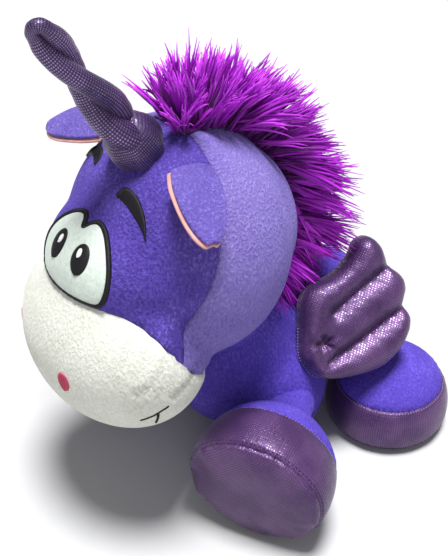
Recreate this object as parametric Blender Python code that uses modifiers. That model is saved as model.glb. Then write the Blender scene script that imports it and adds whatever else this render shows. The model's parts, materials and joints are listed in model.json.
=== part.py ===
"""Plush unicorn lying on its belly: sewn fabric covers over stuffing, with a horn, wings, mane and tail.

The unicorn faces -Y, its left side is +X and it rests on z = 0. Lengths here are millimetres,
and every mesh is brought to metres as it is made.
"""

import math

import bmesh
import bpy
from mathutils import Matrix, Vector

MM = 0.001

# --- Driving dimensions, in millimetres and degrees ---
FABRIC = 1.5                # thickness of a cover
GAP = 0.5                   # half of the space between the edges of two neighbouring panels
INSET = 4.5                 # how far the stuffing lies under the outside of its cover
HEAD_INSET = 10             # the same in the head, whose panels bend more sharply
SOCKET = 1.6                # running clearance round every ball root

# Soft volumes are blends of ellipsoids: (centre, half sizes)
HEAD_CENTRE = Vector((0, -66, 184))
HEAD_MASSES = (
    ((0, -49, 196), (82, 75, 87)),      # skull
    ((0, -106, 144), (76, 57, 65)),     # muzzle
    ((0, -87, 199), (67, 54, 46)),      # face
    ((0, -12, 195), (60, 47, 61)),      # back of the head
)
BODY_CENTRE = Vector((0, 38, 72))
BODY_MASSES = (
    ((0, 8, 66), (54, 62, 68)),         # chest and shoulders, its underside pressed flat
    ((0, 74, 74), (50, 60, 44)),        # rump
)
GRID = (22, 14)             # segments and rings of the head's and the body's forms
BLEND = 14                  # sharpness of the crease between two masses

NECK = Vector((0, -15, 120))
NECK_RADIUS = 34
EAR_SEAM = (Vector((0, -46, 283)), Vector((0, 0.909, -0.416)))      # plane between face and back of head
BELLY_SEAM = 34             # height of the seam between the side panels and the belly panel

HORN_ROOT = Vector((0, -80, 279))
HORN_AXIS = Vector((0, -0.535, 0.845))
HORN_LENGTH = 113
HORN_RADII = ((0, 22), (9, 20), (24, 16), (60, 15.5), (90, 13), (105, 9), (113, 0))
HORN_TWIST = 400            # degrees of twist of the two stuffed lobes from root to tip

EAR_ROOT = Vector((45, -66, 273))
EAR_LENGTH_AXIS = Vector((0.92, -0.24, -0.31)).normalized()
EAR_WIDTH_AXIS = Vector((0.207, 0.967, -0.134)).normalized()
EAR_LIFT = {"left": 0, "right": 8}      # degrees that each ear stands up from where the left one droops
EAR_OUTLINE = ((1, -17), (14, -19), (31, -16), (45, -10), (53, -1), (50, 8), (36, 14), (17, 18), (1, 18))
EAR_BULGE = 3.0

WING_ROOT = Vector((47.5, 21, 105))
WING_NORMAL = Vector((0.83, -0.30, 0.47)).normalized()
WING_OUTLINE = (
    (-3, 2), (-9, -16), (-8, -26), (-3, -38), (13, -47), (41, -52), (58, -49), (75, -38), (83, -22),
    (78, -11), (82, -2), (82, 8), (76, 22), (74, 36), (67, 45), (58, 45), (50, 36), (34, 30), (13, 28), (4, 23),
)
WING_GROOVES = (((24, 4), (74, 22)), ((10, -29), (77, -13)))    # stitched lines between the three feathers
WING_MIDDLE = (38, -3)
WING_HINGE = -9             # where the hinge line crosses the wing, along it from the root
WING_BULGE = 8.0

# Legs: sole centre, axis from hip to sole, hip ball and its radius, squash of the section, profile sizes
FRONT_LEG = {
    "sole": Vector((107, -75, 48)), "axis": Vector((0.43, -0.90, -0.07)), "hip": Vector((60, 4, 50)), "ball": 20,
    "squash": 0.94, "radii": (46, 52, 49), "seam": 42, "dome": 33,
}
HIND_LEG = {
    "sole": Vector((80, 92, 0)), "axis": Vector((0, 0, -1)), "hip": Vector((46, 92, 56)), "ball": 15,
    "squash": 1.0, "radii": (45, 49, 42), "seam": 40, "dome": 25,
}

MANE_ANGLES = (10, 118)     # from straight up over the back of the head
MANE_WIDTH = 13             # half width of the sewn strip
FUR_WIDTH = 30              # half width of the fur where it fans out
FUR_HEIGHT = 46
TAIL_ROOT = Vector((0, 139, 80))
TAIL_TIP = Vector((0, 150, 8))
TAIL_RADIUS = 17

# Seams and sewn features on the head, as (azimuth from the nose, elevation) in degrees
SEAM_FRONT = 8.5            # elevation of the muzzle seam over the nose
EYE_CENTRE = (0, 26)
EYE_OUTLINE = (
    (0, 43.5), (4, 47), (8, 48), (14, 46.5), (20, 42), (25.5, 34), (27.5, 26), (26, 16), (22, 10), (12, 10), (0, 10),
)
PUPIL = ((9.6, 29.5), (7.0, 7.6))
GLINT = ((9.2, 31.5), (2.2, 2.2))
NOSTRIL = ((16, -22), (4.2, 5.2))
BROW_LINE = ((15, 62.5), (24, 62.5), (34, 59.5), (41, 54), (45.5, 46.5))
BROW_WIDTHS = (1.2, 2.6, 2.4, 1.6, 0.4)
MOUTH_LINE = ((50.5, -40), (49.5, -36), (50.5, -32), (55, -29.5))
MOUTH_WIDTHS = (0.7, 0.8, 0.7, 0.5)

MATERIALS = {               # colour, roughness, metallic
    "plush": ((0.105, 0.070, 0.470), 0.9, 0.0),
    "light_plush": ((0.340, 0.250, 0.740), 0.85, 0.0),
    "muzzle": ((0.730, 0.750, 0.680), 0.95, 0.0),
    "hoof": ((0.150, 0.060, 0.230), 0.35, 0.35),
    "horn": ((0.090, 0.025, 0.170), 0.35, 0.35),
    "lining": ((0.690, 0.340, 0.310), 0.5, 0.0),
    "eye_white": ((0.610, 0.690, 0.610), 0.7, 0.0),
    "black_thread": ((0.012, 0.011, 0.013), 0.45, 0.0),
    "white_thread": ((0.850, 0.860, 0.850), 0.4, 0.0),
    "pink_thread": ((0.520, 0.055, 0.120), 0.5, 0.0),
    "mane_fur": ((0.320, 0.016, 0.420), 0.6, 0.0),
    "stuffing": ((0.800, 0.800, 0.780), 1.0, 0.0),
}


for old in list(bpy.data.objects):
    bpy.data.objects.remove(old, do_unlink=True)

unicorn = bpy.data.collections.new("plush_unicorn")
cutters = bpy.data.collections.new("cutters")
bpy.context.scene.collection.children.link(unicorn)
bpy.context.scene.collection.children.link(cutters)


# --- Making objects ---

def material(name):
    """One Principled material for each finish."""
    found = bpy.data.materials.get(name)
    if found:
        return found
    colour, roughness, metallic = MATERIALS[name]
    made = bpy.data.materials.new(name)
    made.use_nodes = True
    shader = made.node_tree.nodes["Principled BSDF"]
    shader.inputs["Base Color"].default_value = (*colour, 1)
    shader.inputs["Roughness"].default_value = roughness
    shader.inputs["Metallic"].default_value = metallic
    made.diffuse_color = (*colour, 1)
    return made


def joint_empty(name, place):
    """An empty on a joint's axis, which the pieces of the moving body hang from."""
    empty = bpy.data.objects.new(name, None)
    empty.empty_display_size = 10 * MM
    empty.location = place * MM
    unicorn.objects.link(empty)
    return empty


def finish(bm, name, slot, parent=None):
    """Turn a mesh in millimetres into a smooth named object in metres, hung from its joint."""
    bmesh.ops.remove_doubles(bm, verts=bm.verts, dist=0.001)
    bmesh.ops.scale(bm, vec=(MM, MM, MM), verts=bm.verts)
    mesh = bpy.data.meshes.new(name)
    bm.to_mesh(mesh)
    bm.free()
    mesh.shade_smooth()
    mesh.set_sharp_from_angle(angle=math.radians(50))
    mesh.materials.append(material(slot))
    obj = bpy.data.objects.new(name, mesh)
    unicorn.objects.link(obj)
    if parent:
        obj.parent = parent
        obj.matrix_parent_inverse = Matrix.Translation(parent.location).inverted()
    return obj


def as_cutter(obj):
    """A shape that only cuts or joins others: kept out of the model."""
    unicorn.objects.unlink(obj)
    cutters.objects.link(obj)
    obj.hide_render = True
    obj.display_type = "WIRE"
    return obj


def ball_cutter(name, centre, radius):
    bm = bmesh.new()
    bmesh.ops.create_uvsphere(bm, u_segments=16, v_segments=10, radius=radius)
    bmesh.ops.translate(bm, vec=centre, verts=bm.verts)
    return as_cutter(finish(bm, name, "stuffing"))


def boolean(obj, cutter, operation="DIFFERENCE"):
    modifier = obj.modifiers.new(cutter.name, "BOOLEAN")
    modifier.operation = operation
    modifier.solver = "EXACT"
    modifier.object = cutter


def thicken(obj, thickness=FABRIC, offset=-1):
    """Give an open surface its fabric thickness; offset -1 keeps the outside where it is."""
    modifier = obj.modifiers.new("thickness", "SOLIDIFY")
    modifier.thickness = thickness * MM
    modifier.offset = offset


# --- Shaping ---

def mix(a, b, t):
    return a + (b - a) * t


def along(points, t):
    """The point at fraction t of a list of points, with straight steps between them."""
    place = max(0.0, min(1.0, t)) * (len(points) - 1)
    index = min(int(place), len(points) - 2)
    return tuple(mix(a, b, place - index) for a, b in zip(points[index], points[index + 1]))


def graph(points, x):
    """Height of a graph given as (x, height) points."""
    for (x0, y0), (x1, y1) in zip(points, points[1:]):
        if x <= x1:
            return mix(y0, y1, (x - x0) / (x1 - x0))
    return points[-1][1]


def heading(azimuth, elevation):
    """Unit direction: azimuth 0 is the nose's side (-Y) and 90 the left (+X)."""
    a, e = math.radians(azimuth), math.radians(elevation)
    return Vector((math.sin(a) * math.cos(e), -math.cos(a) * math.cos(e), math.sin(e)))


def reach(origin, masses, way):
    """Distance from the origin to the blended surface of several ellipsoids."""
    total = 0.0
    for centre, size in masses:
        q = Vector([(o - c) / s for o, c, s in zip(origin, centre, size)])
        w = Vector([d / s for d, s in zip(way, size)])
        a, b, c = w.dot(w), q.dot(w), q.dot(q) - 1
        inside = b * b - a * c
        if inside > 0:
            total += max(0.0, (-b + math.sqrt(inside)) / a) ** BLEND
    return total ** (1 / BLEND)


def on_head(azimuth, elevation, lift=0.0):
    way = heading(azimuth, elevation)
    return HEAD_CENTRE + way * (reach(HEAD_CENTRE, HEAD_MASSES, way) + lift)


def on_body(azimuth, elevation, lift=0.0):
    way = heading(azimuth, elevation)
    point = BODY_CENTRE + way * (reach(BODY_CENTRE, BODY_MASSES, way) + lift)
    point.z = max(point.z, -lift)
    return point


def mapped_ball(segments, rings, place):
    """A ball primitive whose vertices are moved to place(azimuth, elevation), faces pointing out."""
    bm = bmesh.new()
    bmesh.ops.create_uvsphere(bm, u_segments=segments, v_segments=rings, radius=1)
    for vert in bm.verts:
        azimuth = math.degrees(math.atan2(vert.co.x, -vert.co.y))
        elevation = math.degrees(math.asin(max(-1.0, min(1.0, vert.co.z))))
        vert.co = place(azimuth, elevation)
    bmesh.ops.recalc_face_normals(bm, faces=bm.faces)
    return bm


def trim(bm, point, normal, fill=False):
    """Cut a mesh at a plane and keep the side that the normal points away from."""
    cut = bmesh.ops.bisect_plane(
        bm, geom=bm.verts[:] + bm.edges[:] + bm.faces[:], plane_co=point, plane_no=normal, clear_outer=True, dist=1e-4
    )
    if fill:
        rim = [item for item in cut["geom_cut"] if isinstance(item, bmesh.types.BMEdge)]
        bmesh.ops.holes_fill(bm, edges=rim)
    return bm


def closed_outline(points, half=False):
    """A function from an angle in degrees to a point of an outline; half mirrors it about x = 0."""
    whole = list(points)
    if half:
        whole += [(-x, y) for x, y in reversed(points[1:-1])]
    whole.append(whole[0])
    return lambda angle: along(whole, (angle % 360) / 360)


def pillow(outline, centre, bulge, grooves=()):
    """Place function of a flat stuffed shape with the given outline, in its own flat frame."""
    def place(azimuth, elevation):
        edge = outline(azimuth)
        out, up = math.cos(math.radians(elevation)), math.sin(math.radians(elevation))
        x, y = mix(centre[0], edge[0], out), mix(centre[1], edge[1], out)
        height = bulge * up
        for (x0, y0), (x1, y1) in grooves:
            away = abs((x - x0) * (y1 - y0) - (y - y0) * (x1 - x0)) / math.hypot(x1 - x0, y1 - y0)
            if x > x0 - 6:
                height *= 1 - 0.55 * math.exp(-(away / 4.5) ** 2)
        return Vector((x, y, height))
    return place


def half_pillow(place, segments, rings, sign):
    """The half of a flat stuffed shape on one side of its middle plane, closed, with the seam's gap."""
    bm = trim(mapped_ball(segments, rings, place), Vector((0, 0, 0)), Vector((0, 0, -sign)), fill=True)
    bmesh.ops.translate(bm, vec=(0, 0, sign * GAP / 2), verts=bm.verts)
    return bm


def flat_frame(origin, x_axis, y_axis, side):
    """Matrix of a flat frame, mirrored to the right side when side is -1."""
    frame = Matrix((x_axis, y_axis, x_axis.cross(y_axis))).transposed().to_4x4()
    frame.translation = origin
    return Matrix.Diagonal((side, 1, 1, 1)) @ frame


def moved(bm, matrix):
    bmesh.ops.transform(bm, matrix=matrix, verts=bm.verts)
    if matrix.determinant() < 0:
        bmesh.ops.reverse_faces(bm, faces=bm.faces)
    return bm


# --- Head ---

def muzzle_seam(azimuth):
    """Elevation of the seam round the muzzle: level over the nose, then down behind the cheeks."""
    x = (abs(azimuth) / 76.7) ** 4.6
    return SEAM_FRONT - 88 * x / (1 + x)


def head_grid(shift, lift=0.0):
    """Place function whose ring at elevation 0 lies on the muzzle seam, moved up by shift degrees."""
    def place(azimuth, elevation):
        seam = muzzle_seam(azimuth) + shift
        if elevation >= 0:
            return on_head(azimuth, mix(seam, 90, elevation / 90), lift)
        return on_head(azimuth, mix(seam, -90, -elevation / 90), lift)
    return place


def head_shell(name, slot, upper, cuts, parent):
    bm = mapped_ball(*GRID, head_grid(0.25 if upper else -0.25))
    middle = HEAD_CENTRE
    drop = []
    for face in bm.faces:
        way = face.calc_center_median() - middle
        azimuth = math.degrees(math.atan2(way.x, -way.y))
        elevation = math.degrees(math.asin(way.z / way.length))
        if (elevation > muzzle_seam(azimuth)) != upper:
            drop.append(face)
    bmesh.ops.delete(bm, geom=drop, context="FACES")
    for point, normal in cuts:
        trim(bm, point, normal)
    obj = finish(bm, name, slot, parent)
    thicken(obj)
    return obj


def sewn_patch(name, slot, outline, centre, lift, thickness, parent, segments=16, rings=6, inner=0.0, outer=1.0):
    """A flat patch or ring that follows the head: fractions inner to outer of its outline."""
    def place(azimuth, elevation):
        edge = outline(azimuth)
        part = mix(inner, outer, math.cos(math.radians(elevation)))
        return on_head(mix(centre[0], edge[0], part), mix(centre[1], edge[1], part), lift)
    bm = bmesh.new()
    bmesh.ops.create_uvsphere(bm, u_segments=segments, v_segments=rings, radius=1)
    bmesh.ops.delete(bm, geom=[v for v in bm.verts if v.co.z < -0.01], context="VERTS")
    if inner:
        bmesh.ops.delete(bm, geom=[v for v in bm.verts if v.co.z > 0.99], context="VERTS")
    for vert in bm.verts:
        azimuth = math.degrees(math.atan2(vert.co.x, vert.co.y))
        vert.co = place(azimuth, math.degrees(math.asin(min(1.0, max(0.0, vert.co.z)))))
    return sewn(bm, name, slot, thickness, parent)


def sewn_line(name, slot, line, widths, lift, thickness, parent, side):
    """A tapering band of satin stitch along a line on the head."""
    steps = 8
    bm = bmesh.new()
    bmesh.ops.create_grid(bm, x_segments=steps, y_segments=2, size=1)
    for vert in bm.verts:
        t = (vert.co.x + 1) / 2
        here, ahead = along(line, min(t, 0.999)), along(line, min(t + 0.02, 1.0))
        if t > 0.98:
            here, ahead = along(line, t - 0.02), along(line, t)
        run = Vector((ahead[0] - here[0], ahead[1] - here[1])).normalized()
        width = along([(w,) for w in widths], t)[0] * vert.co.y
        place = along(line, t)
        vert.co = on_head(side * (place[0] - run.y * width), place[1] + run.x * width, lift)
    return sewn(bm, name, slot, thickness, parent)


def sewn(bm, name, slot, thickness, parent):
    """Face the surface away from the head and build its thickness outwards."""
    bmesh.ops.recalc_face_normals(bm, faces=bm.faces)
    face = next(iter(bm.faces))
    if face.normal.dot(face.calc_center_median() - HEAD_CENTRE) < 0:
        bmesh.ops.reverse_faces(bm, faces=bm.faces)
    obj = finish(bm, name, slot, parent)
    thicken(obj, thickness, offset=1)
    return obj


def ellipse(centre, half, side=1):
    return lambda angle: (
        side * centre[0] + half[0] * math.sin(math.radians(angle)),
        centre[1] + half[1] * math.cos(math.radians(angle)),
    )


def make_face(parent):
    """Embroidered eyes, brows, nostrils and mouth."""
    eye = closed_outline(EYE_OUTLINE, half=True)
    sewn_patch("eye_patch", "eye_white", eye, EYE_CENTRE, 0.4, 0.7, parent, 24, 6, outer=0.91)
    sewn_patch("eye_outline", "black_thread", eye, EYE_CENTRE, 0.4, 1.0, parent, 40, 4, inner=0.93, outer=1.0)
    for side, word in ((1, "left"), (-1, "right")):
        for part, slot, (centre, half), lift in (
            ("pupil", "black_thread", PUPIL, 1.6),
            ("glint", "white_thread", GLINT, 2.8),
            ("nostril", "pink_thread", NOSTRIL, 0.4),
        ):
            middle = (side * centre[0], centre[1])
            sewn_patch(f"{part}_{word}", slot, ellipse(centre, half, side), middle, lift, 0.7, parent, 12, 4)
        sewn_line(f"brow_{word}", "black_thread", BROW_LINE, BROW_WIDTHS, 0.4, 0.8, parent, side)
        sewn_line(f"mouth_stitch_{word}", "black_thread", MOUTH_LINE, MOUTH_WIDTHS, 0.4, 0.7, parent, side)


def mane_root(angle, lift):
    """Point over the middle line of the head, by the angle from straight up towards the back."""
    if angle > 0:
        return on_head(180, 90 - angle, lift)
    return on_head(0, 90 + angle, lift)


def make_mane(parent):
    """The backing strip sewn over the back seam, and the mass of fur that stands on it."""
    bm = bmesh.new()
    bmesh.ops.create_grid(bm, x_segments=4, y_segments=16, size=1)
    for vert in bm.verts:
        middle = mane_root(mix(*MANE_ANGLES, (vert.co.y + 1) / 2), 0)
        side = HEAD_CENTRE + (middle - HEAD_CENTRE)
        side.x = vert.co.x * MANE_WIDTH
        way = (side - HEAD_CENTRE).normalized()
        vert.co = HEAD_CENTRE + way * (reach(HEAD_CENTRE, HEAD_MASSES, way) + 0.5)
    sewn(bm, "mane_backing", "mane_fur", 1.0, parent)

    def fur(azimuth, elevation):
        """Lengthwise over the head, round in section: flat below, fanned out above."""
        run = (elevation + 90) / 180
        angle = mix(MANE_ANGLES[0] + 2, MANE_ANGLES[1] - 3, run)
        full = math.cos(math.radians(elevation)) ** 0.45
        across, up = math.sin(math.radians(azimuth)), -math.cos(math.radians(azimuth))
        height = FUR_HEIGHT / 2 * (1 + up * full)
        point = mane_root(angle, 4.0 + height)
        point.x = FUR_WIDTH * full * across * (0.55 + 0.45 * height / FUR_HEIGHT)
        return point
    finish(mapped_ball(14, 14, fur), "mane_fur", "mane_fur", parent)


def make_head(parent):
    point, normal = EAR_SEAM
    upright = Vector((1, 0, 0))
    in_front = (point - normal * GAP, normal)
    behind = (point + normal * GAP, -normal)
    panels = [
        head_shell("face_panel", "plush", True, [in_front], parent),
        head_shell("back_of_head_left", "light_plush", True, [behind, (upright * GAP, -upright)], parent),
        head_shell("back_of_head_right", "light_plush", True, [behind, (-upright * GAP, upright)], parent),
    ]
    muzzle = head_shell("muzzle_panel", "muzzle", False, [], parent)
    core = mapped_ball(*GRID, lambda azimuth, elevation: on_head(azimuth, elevation, -HEAD_INSET))
    core = finish(core, "head_stuffing", "stuffing", parent)
    neck_cut = ball_cutter("neck_socket_cutter", NECK, NECK_RADIUS + SOCKET)
    horn_cut = ball_cutter("horn_socket_cutter", HORN_ROOT, HORN_RADII[0][1] + SOCKET)
    for obj in panels + [core]:
        boolean(obj, horn_cut)
    for obj in panels + [core, muzzle]:
        boolean(obj, neck_cut)
    make_face(parent)
    make_mane(parent)


def make_horn(parent):
    """Two stuffed lobes twisted round each other, on a ball root inside the head."""
    side = Vector((1, 0, 0))
    front = HORN_AXIS.cross(side)
    base = HORN_RADII[0][1]

    def place(slim, short):
        def lay(azimuth, elevation):
            run = (elevation + 90) / 180
            if run < 0.25:
                turn = math.pi / 2 * (1 - run / 0.25)
                height, radius, lobes = -base * math.sin(turn), base * math.cos(turn), 0.0
            else:
                height = HORN_LENGTH * math.sin((run - 0.25) / 0.75 * math.pi / 2)
                radius = graph(HORN_RADII, height)
                lobes = 0.24 * min(1.0, height / 25)
            angle = math.radians(azimuth)
            twist = math.radians(HORN_TWIST) * height / HORN_LENGTH
            radius *= slim * (1 + lobes * math.cos(2 * (angle - twist)))
            across = side * math.cos(angle) + front * math.sin(angle)
            return HORN_ROOT + HORN_AXIS * height * short + across * radius
        return lay
    cover = mapped_ball(12, 16, place(1, 1))
    trim(cover, HORN_ROOT + HORN_AXIS * 2, -HORN_AXIS)
    thicken(finish(cover, "horn_cover", "horn", parent))
    core = mapped_ball(12, 16, place(0.74, 0.94))
    finish(core, "horn_stuffing", "stuffing", parent)


def make_ear(side, word, parent):
    outline = closed_outline(EAR_OUTLINE)
    lift = Matrix.Rotation(math.radians(-EAR_LIFT[word]), 3, EAR_WIDTH_AXIS)
    frame = flat_frame(EAR_ROOT, lift @ EAR_LENGTH_AXIS, EAR_WIDTH_AXIS, side)
    for part, slot, sign in (("cover", "light_plush", 1), ("lining", "lining", -1)):
        half = half_pillow(pillow(outline, (25, 0), EAR_BULGE), 18, 6, sign)
        finish(moved(half, frame), f"ear_{word}_{part}", slot, parent)


# --- Body and neck ---

def make_body():
    upright, high = Vector((1, 0, 0)), Vector((0, 0, 1))
    above = (high * (BELLY_SEAM + GAP), -high)
    pieces = []
    for name, cuts in (
        ("body_left_panel", [above, (upright * GAP, -upright)]),
        ("body_right_panel", [above, (-upright * GAP, upright)]),
        ("belly_panel", [(high * (BELLY_SEAM - GAP), high)]),
    ):
        bm = mapped_ball(*GRID, on_body)
        for point, normal in cuts:
            trim(bm, point, normal)
        obj = finish(bm, name, "plush")
        thicken(obj)
        pieces.append(obj)
    core = mapped_ball(*GRID, lambda azimuth, elevation: on_body(azimuth, elevation, -INSET))
    pieces.append(finish(core, "body_stuffing", "stuffing"))

    cuts = [bpy.data.objects["neck_socket_cutter"]]
    for leg, word in ((FRONT_LEG, "front"), (HIND_LEG, "hind")):
        for side, hand in ((1, "left"), (-1, "right")):
            hip = Vector((side * leg["hip"].x, leg["hip"].y, leg["hip"].z))
            cuts.append(ball_cutter(f"{word}_{hand}_socket_cutter", hip, leg["ball"] + SOCKET))
    for obj in pieces:
        for cutter in cuts:
            boolean(obj, cutter)


def make_neck(parent):
    """The stuffed neck, a ball that both the head and the body are sewn round."""
    bm = bmesh.new()
    bmesh.ops.create_uvsphere(bm, u_segments=16, v_segments=10, radius=NECK_RADIUS)
    bmesh.ops.translate(bm, vec=NECK, verts=bm.verts)
    finish(bm, "neck_stuffing", "stuffing", parent)


# --- Legs, wings and tail ---

def leg_form(leg, inset=0.0):
    """Place function of a whole leg in its own frame: z runs from the sole back to the top of the dome."""
    sole, bulge, seam = (radius - inset for radius in leg["radii"])
    height, dome = leg["seam"], leg["dome"] - inset
    knots = [(0, inset), (sole * 0.6, inset), (sole, inset), (sole + 2, 0.12 * height + inset)]
    knots += [(bulge, 0.4 * height), (mix(bulge, seam, 0.55), 0.75 * height), (seam, height)]
    for step in range(1, 5):
        turn = math.radians(22.5 * step)
        knots.append((seam * math.cos(turn), height + dome * math.sin(turn)))

    def place(azimuth, elevation):
        radius, z = along(knots, (elevation + 90) / 180)
        a = math.radians(azimuth)
        return Vector((radius * math.cos(a), radius * leg["squash"] * math.sin(a), z))
    return place, len(knots) - 1


def make_leg(leg, side, name):
    axis = leg["axis"].normalized()
    back = -axis
    up = Vector((0, 0, 1)) if abs(axis.z) < 0.9 else Vector((0, 1, 0))
    y_axis = (up - back * up.dot(back)).normalized()
    frame = flat_frame(leg["sole"], y_axis.cross(back), y_axis, side)
    hip = Vector((side * leg["hip"].x, leg["hip"].y, leg["hip"].z))
    parent = joint_empty(f"{name}_hip", hip)
    high = Vector((0, 0, 1))
    outer, rings = leg_form(leg)
    inner, _ = leg_form(leg, FABRIC)
    core, _ = leg_form(leg, INSET)
    segments = 16

    cover = trim(mapped_ball(segments, rings, outer), high * (leg["seam"] + GAP), -high, fill=True)
    cover = finish(moved(cover, frame), f"{name}_cover", "plush", parent)
    boolean(cover, ball_cutter(f"{name}_root", hip, leg["ball"]), "UNION")
    boolean(cover, as_cutter(finish(moved(mapped_ball(segments, rings, inner), frame), f"{name}_inside", "stuffing")))

    hoof = mapped_ball(segments, rings, outer)
    trim(hoof, high * (leg["seam"] - GAP), high)
    flat = [face for face in hoof.faces if face.calc_center_median().z < 0.01]
    bmesh.ops.delete(hoof, geom=flat, context="FACES")
    thicken(finish(moved(hoof, frame), f"{name}_hoof", "hoof", parent))

    plate = bmesh.new()
    bmesh.ops.create_cone(
        plate, cap_ends=True, segments=segments, radius1=leg["radii"][0] - 2.2, radius2=leg["radii"][0] - 2.2,
        depth=FABRIC
    )
    bmesh.ops.translate(plate, vec=(0, 0, FABRIC / 2), verts=plate.verts)
    bmesh.ops.scale(plate, vec=(1, leg["squash"], 1), verts=plate.verts)
    finish(moved(plate, frame), f"{name}_sole", "hoof", parent)
    finish(moved(mapped_ball(16, rings, core), frame), f"{name}_stuffing", "stuffing", parent)


def make_wing(side, word):
    along_wing = (Vector((0, 1, 0)) - WING_NORMAL * WING_NORMAL.y).normalized()
    frame = flat_frame(WING_ROOT, along_wing, WING_NORMAL.cross(along_wing), side)
    hinge = WING_ROOT + along_wing * WING_HINGE
    parent = joint_empty(f"wing_{word}_root", Vector((side * hinge.x, hinge.y, hinge.z)))

    def form(shrink, thinner):
        """The wing's pillow, its outline scaled towards the middle and its bulge made thinner."""
        (u, v) = WING_MIDDLE
        outline = closed_outline([(mix(u, x, shrink), mix(v, y, shrink)) for x, y in WING_OUTLINE])
        return pillow(outline, WING_MIDDLE, WING_BULGE - thinner, WING_GROOVES)

    inside = mapped_ball(20, 8, form(0.95, FABRIC))
    inside = as_cutter(finish(moved(inside, frame), f"wing_{word}_inside", "stuffing"))
    for part, sign in (("outer", 1), ("inner", -1)):
        half = half_pillow(form(1, 0), 20, 8, sign)
        boolean(finish(moved(half, frame), f"wing_{word}_{part}_panel", "hoof", parent), inside)
    core = mapped_ball(20, 8, form(0.84, FABRIC + 2.5))
    finish(moved(core, frame), f"wing_{word}_stuffing", "stuffing", parent)


def make_tail():
    """A short tuft of the same fur as the mane, hanging behind the rump."""
    parent = joint_empty("tail_root", TAIL_ROOT)

    def place(azimuth, elevation):
        run = (90 - elevation) / 180
        radius = TAIL_RADIUS * math.sin(math.pi * run ** 0.8) ** 0.75 if 0 < run < 1 else 0.0
        middle = TAIL_ROOT.lerp(TAIL_TIP, run) + Vector((0, 5 * math.sin(math.pi * run), 0))
        a = math.radians(azimuth)
        return middle + Vector((math.sin(a), 0.1 - 0.7 * math.cos(a), 0)) * radius
    finish(mapped_ball(14, 10, place), "tail_fur", "mane_fur", parent)


neck_joint = joint_empty("neck", NECK)
head_joint = joint_empty("head", NECK)
make_head(head_joint)
make_horn(joint_empty("horn", HORN_ROOT))
for side, word in ((1, "left"), (-1, "right")):
    make_ear(side, word, joint_empty(f"ear_{word}", Vector((side * EAR_ROOT.x, EAR_ROOT.y, EAR_ROOT.z))))
make_neck(neck_joint)
make_body()
for leg, word in ((FRONT_LEG, "front"), (HIND_LEG, "hind")):
    for side, hand in ((1, "left"), (-1, "right")):
        make_leg(leg, side, f"{word}_{hand}_leg")
for side, word in ((1, "left"), (-1, "right")):
    make_wing(side, word)
make_tail()
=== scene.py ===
"""A plush unicorn lying on its belly, with foil-dotted knit hooves, wings and horn, and a shaggy mane.

Sizes are in millimetres and degrees. The unicorn faces -Y, its left side is +X and it lies on z = 0.
"""

import json
import math

import bpy
import numpy as np
from mathutils import Matrix, Vector
from mathutils.bvhtree import BVHTree

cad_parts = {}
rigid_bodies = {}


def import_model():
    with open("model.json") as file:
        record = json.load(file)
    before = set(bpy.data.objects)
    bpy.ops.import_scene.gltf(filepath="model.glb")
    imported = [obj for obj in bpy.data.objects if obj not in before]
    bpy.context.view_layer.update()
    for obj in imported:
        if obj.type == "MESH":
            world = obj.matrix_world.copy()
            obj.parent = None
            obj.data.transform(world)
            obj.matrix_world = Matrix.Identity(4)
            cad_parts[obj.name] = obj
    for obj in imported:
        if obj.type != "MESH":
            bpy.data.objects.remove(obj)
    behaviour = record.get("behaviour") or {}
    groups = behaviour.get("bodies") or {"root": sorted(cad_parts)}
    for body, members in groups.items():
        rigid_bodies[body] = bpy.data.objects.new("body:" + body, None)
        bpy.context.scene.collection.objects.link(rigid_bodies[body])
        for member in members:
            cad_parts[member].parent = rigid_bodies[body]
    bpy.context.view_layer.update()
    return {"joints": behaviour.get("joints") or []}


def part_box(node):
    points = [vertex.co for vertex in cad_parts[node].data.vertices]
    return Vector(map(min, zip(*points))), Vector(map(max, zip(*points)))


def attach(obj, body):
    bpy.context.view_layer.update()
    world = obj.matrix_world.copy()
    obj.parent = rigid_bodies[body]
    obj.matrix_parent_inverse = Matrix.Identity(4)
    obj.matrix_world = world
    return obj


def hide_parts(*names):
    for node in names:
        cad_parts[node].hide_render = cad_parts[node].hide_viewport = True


for old in list(bpy.data.objects):
    bpy.data.objects.remove(old, do_unlink=True)
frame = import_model()
MM = 0.001
joint = {entry["name"]: Vector(entry["pos_m"]) / MM for entry in frame["joints"]}


# --- Camera, floor and light ---
# The toy lies on a plain pale floor. A strong soft light comes from almost overhead, as from a studio
# ceiling, and a weak soft box behind the camera lifts the shadows. Colours are shown without a film curve.
CAMERA_TARGET = Vector((0, -10, 140))
CAMERA_WAY = Vector((0.604, -0.507, 0.616))
CAMERA_DISTANCE = 750
SOFT_BOX_PLACE = Vector((0.95, -0.80, 0.75))
SOFT_BOX_TARGET = Vector((0, 0, 0.12))

camera_data = bpy.data.cameras.new("camera")
camera_data.lens = 67.3
camera_data.clip_start = 0.05
camera = bpy.data.objects.new("camera", camera_data)
bpy.context.scene.collection.objects.link(camera)
camera.location = (CAMERA_TARGET + CAMERA_WAY * CAMERA_DISTANCE) * MM
camera.rotation_euler = (-CAMERA_WAY).to_track_quat("-Z", "Y").to_euler()
bpy.context.scene.camera = camera


def hang_light(name, kind, way, place=(0, 0, 0), **settings):
    """A light that shines in one direction from its place."""
    data = bpy.data.lights.new(name, kind)
    for setting, value in settings.items():
        setattr(data, setting, value)
    light = bpy.data.objects.new(name, data)
    light.location = place
    light.rotation_euler = Vector(way).to_track_quat("-Z", "Y").to_euler()
    bpy.context.scene.collection.objects.link(light)


hang_light("ceiling_light", "SUN", (-0.05, 0, -1), energy=5.8, angle=math.radians(18))
hang_light("camera_box", "AREA", SOFT_BOX_TARGET - SOFT_BOX_PLACE, SOFT_BOX_PLACE,
           shape="DISK", size=0.7, energy=2.6)

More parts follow.
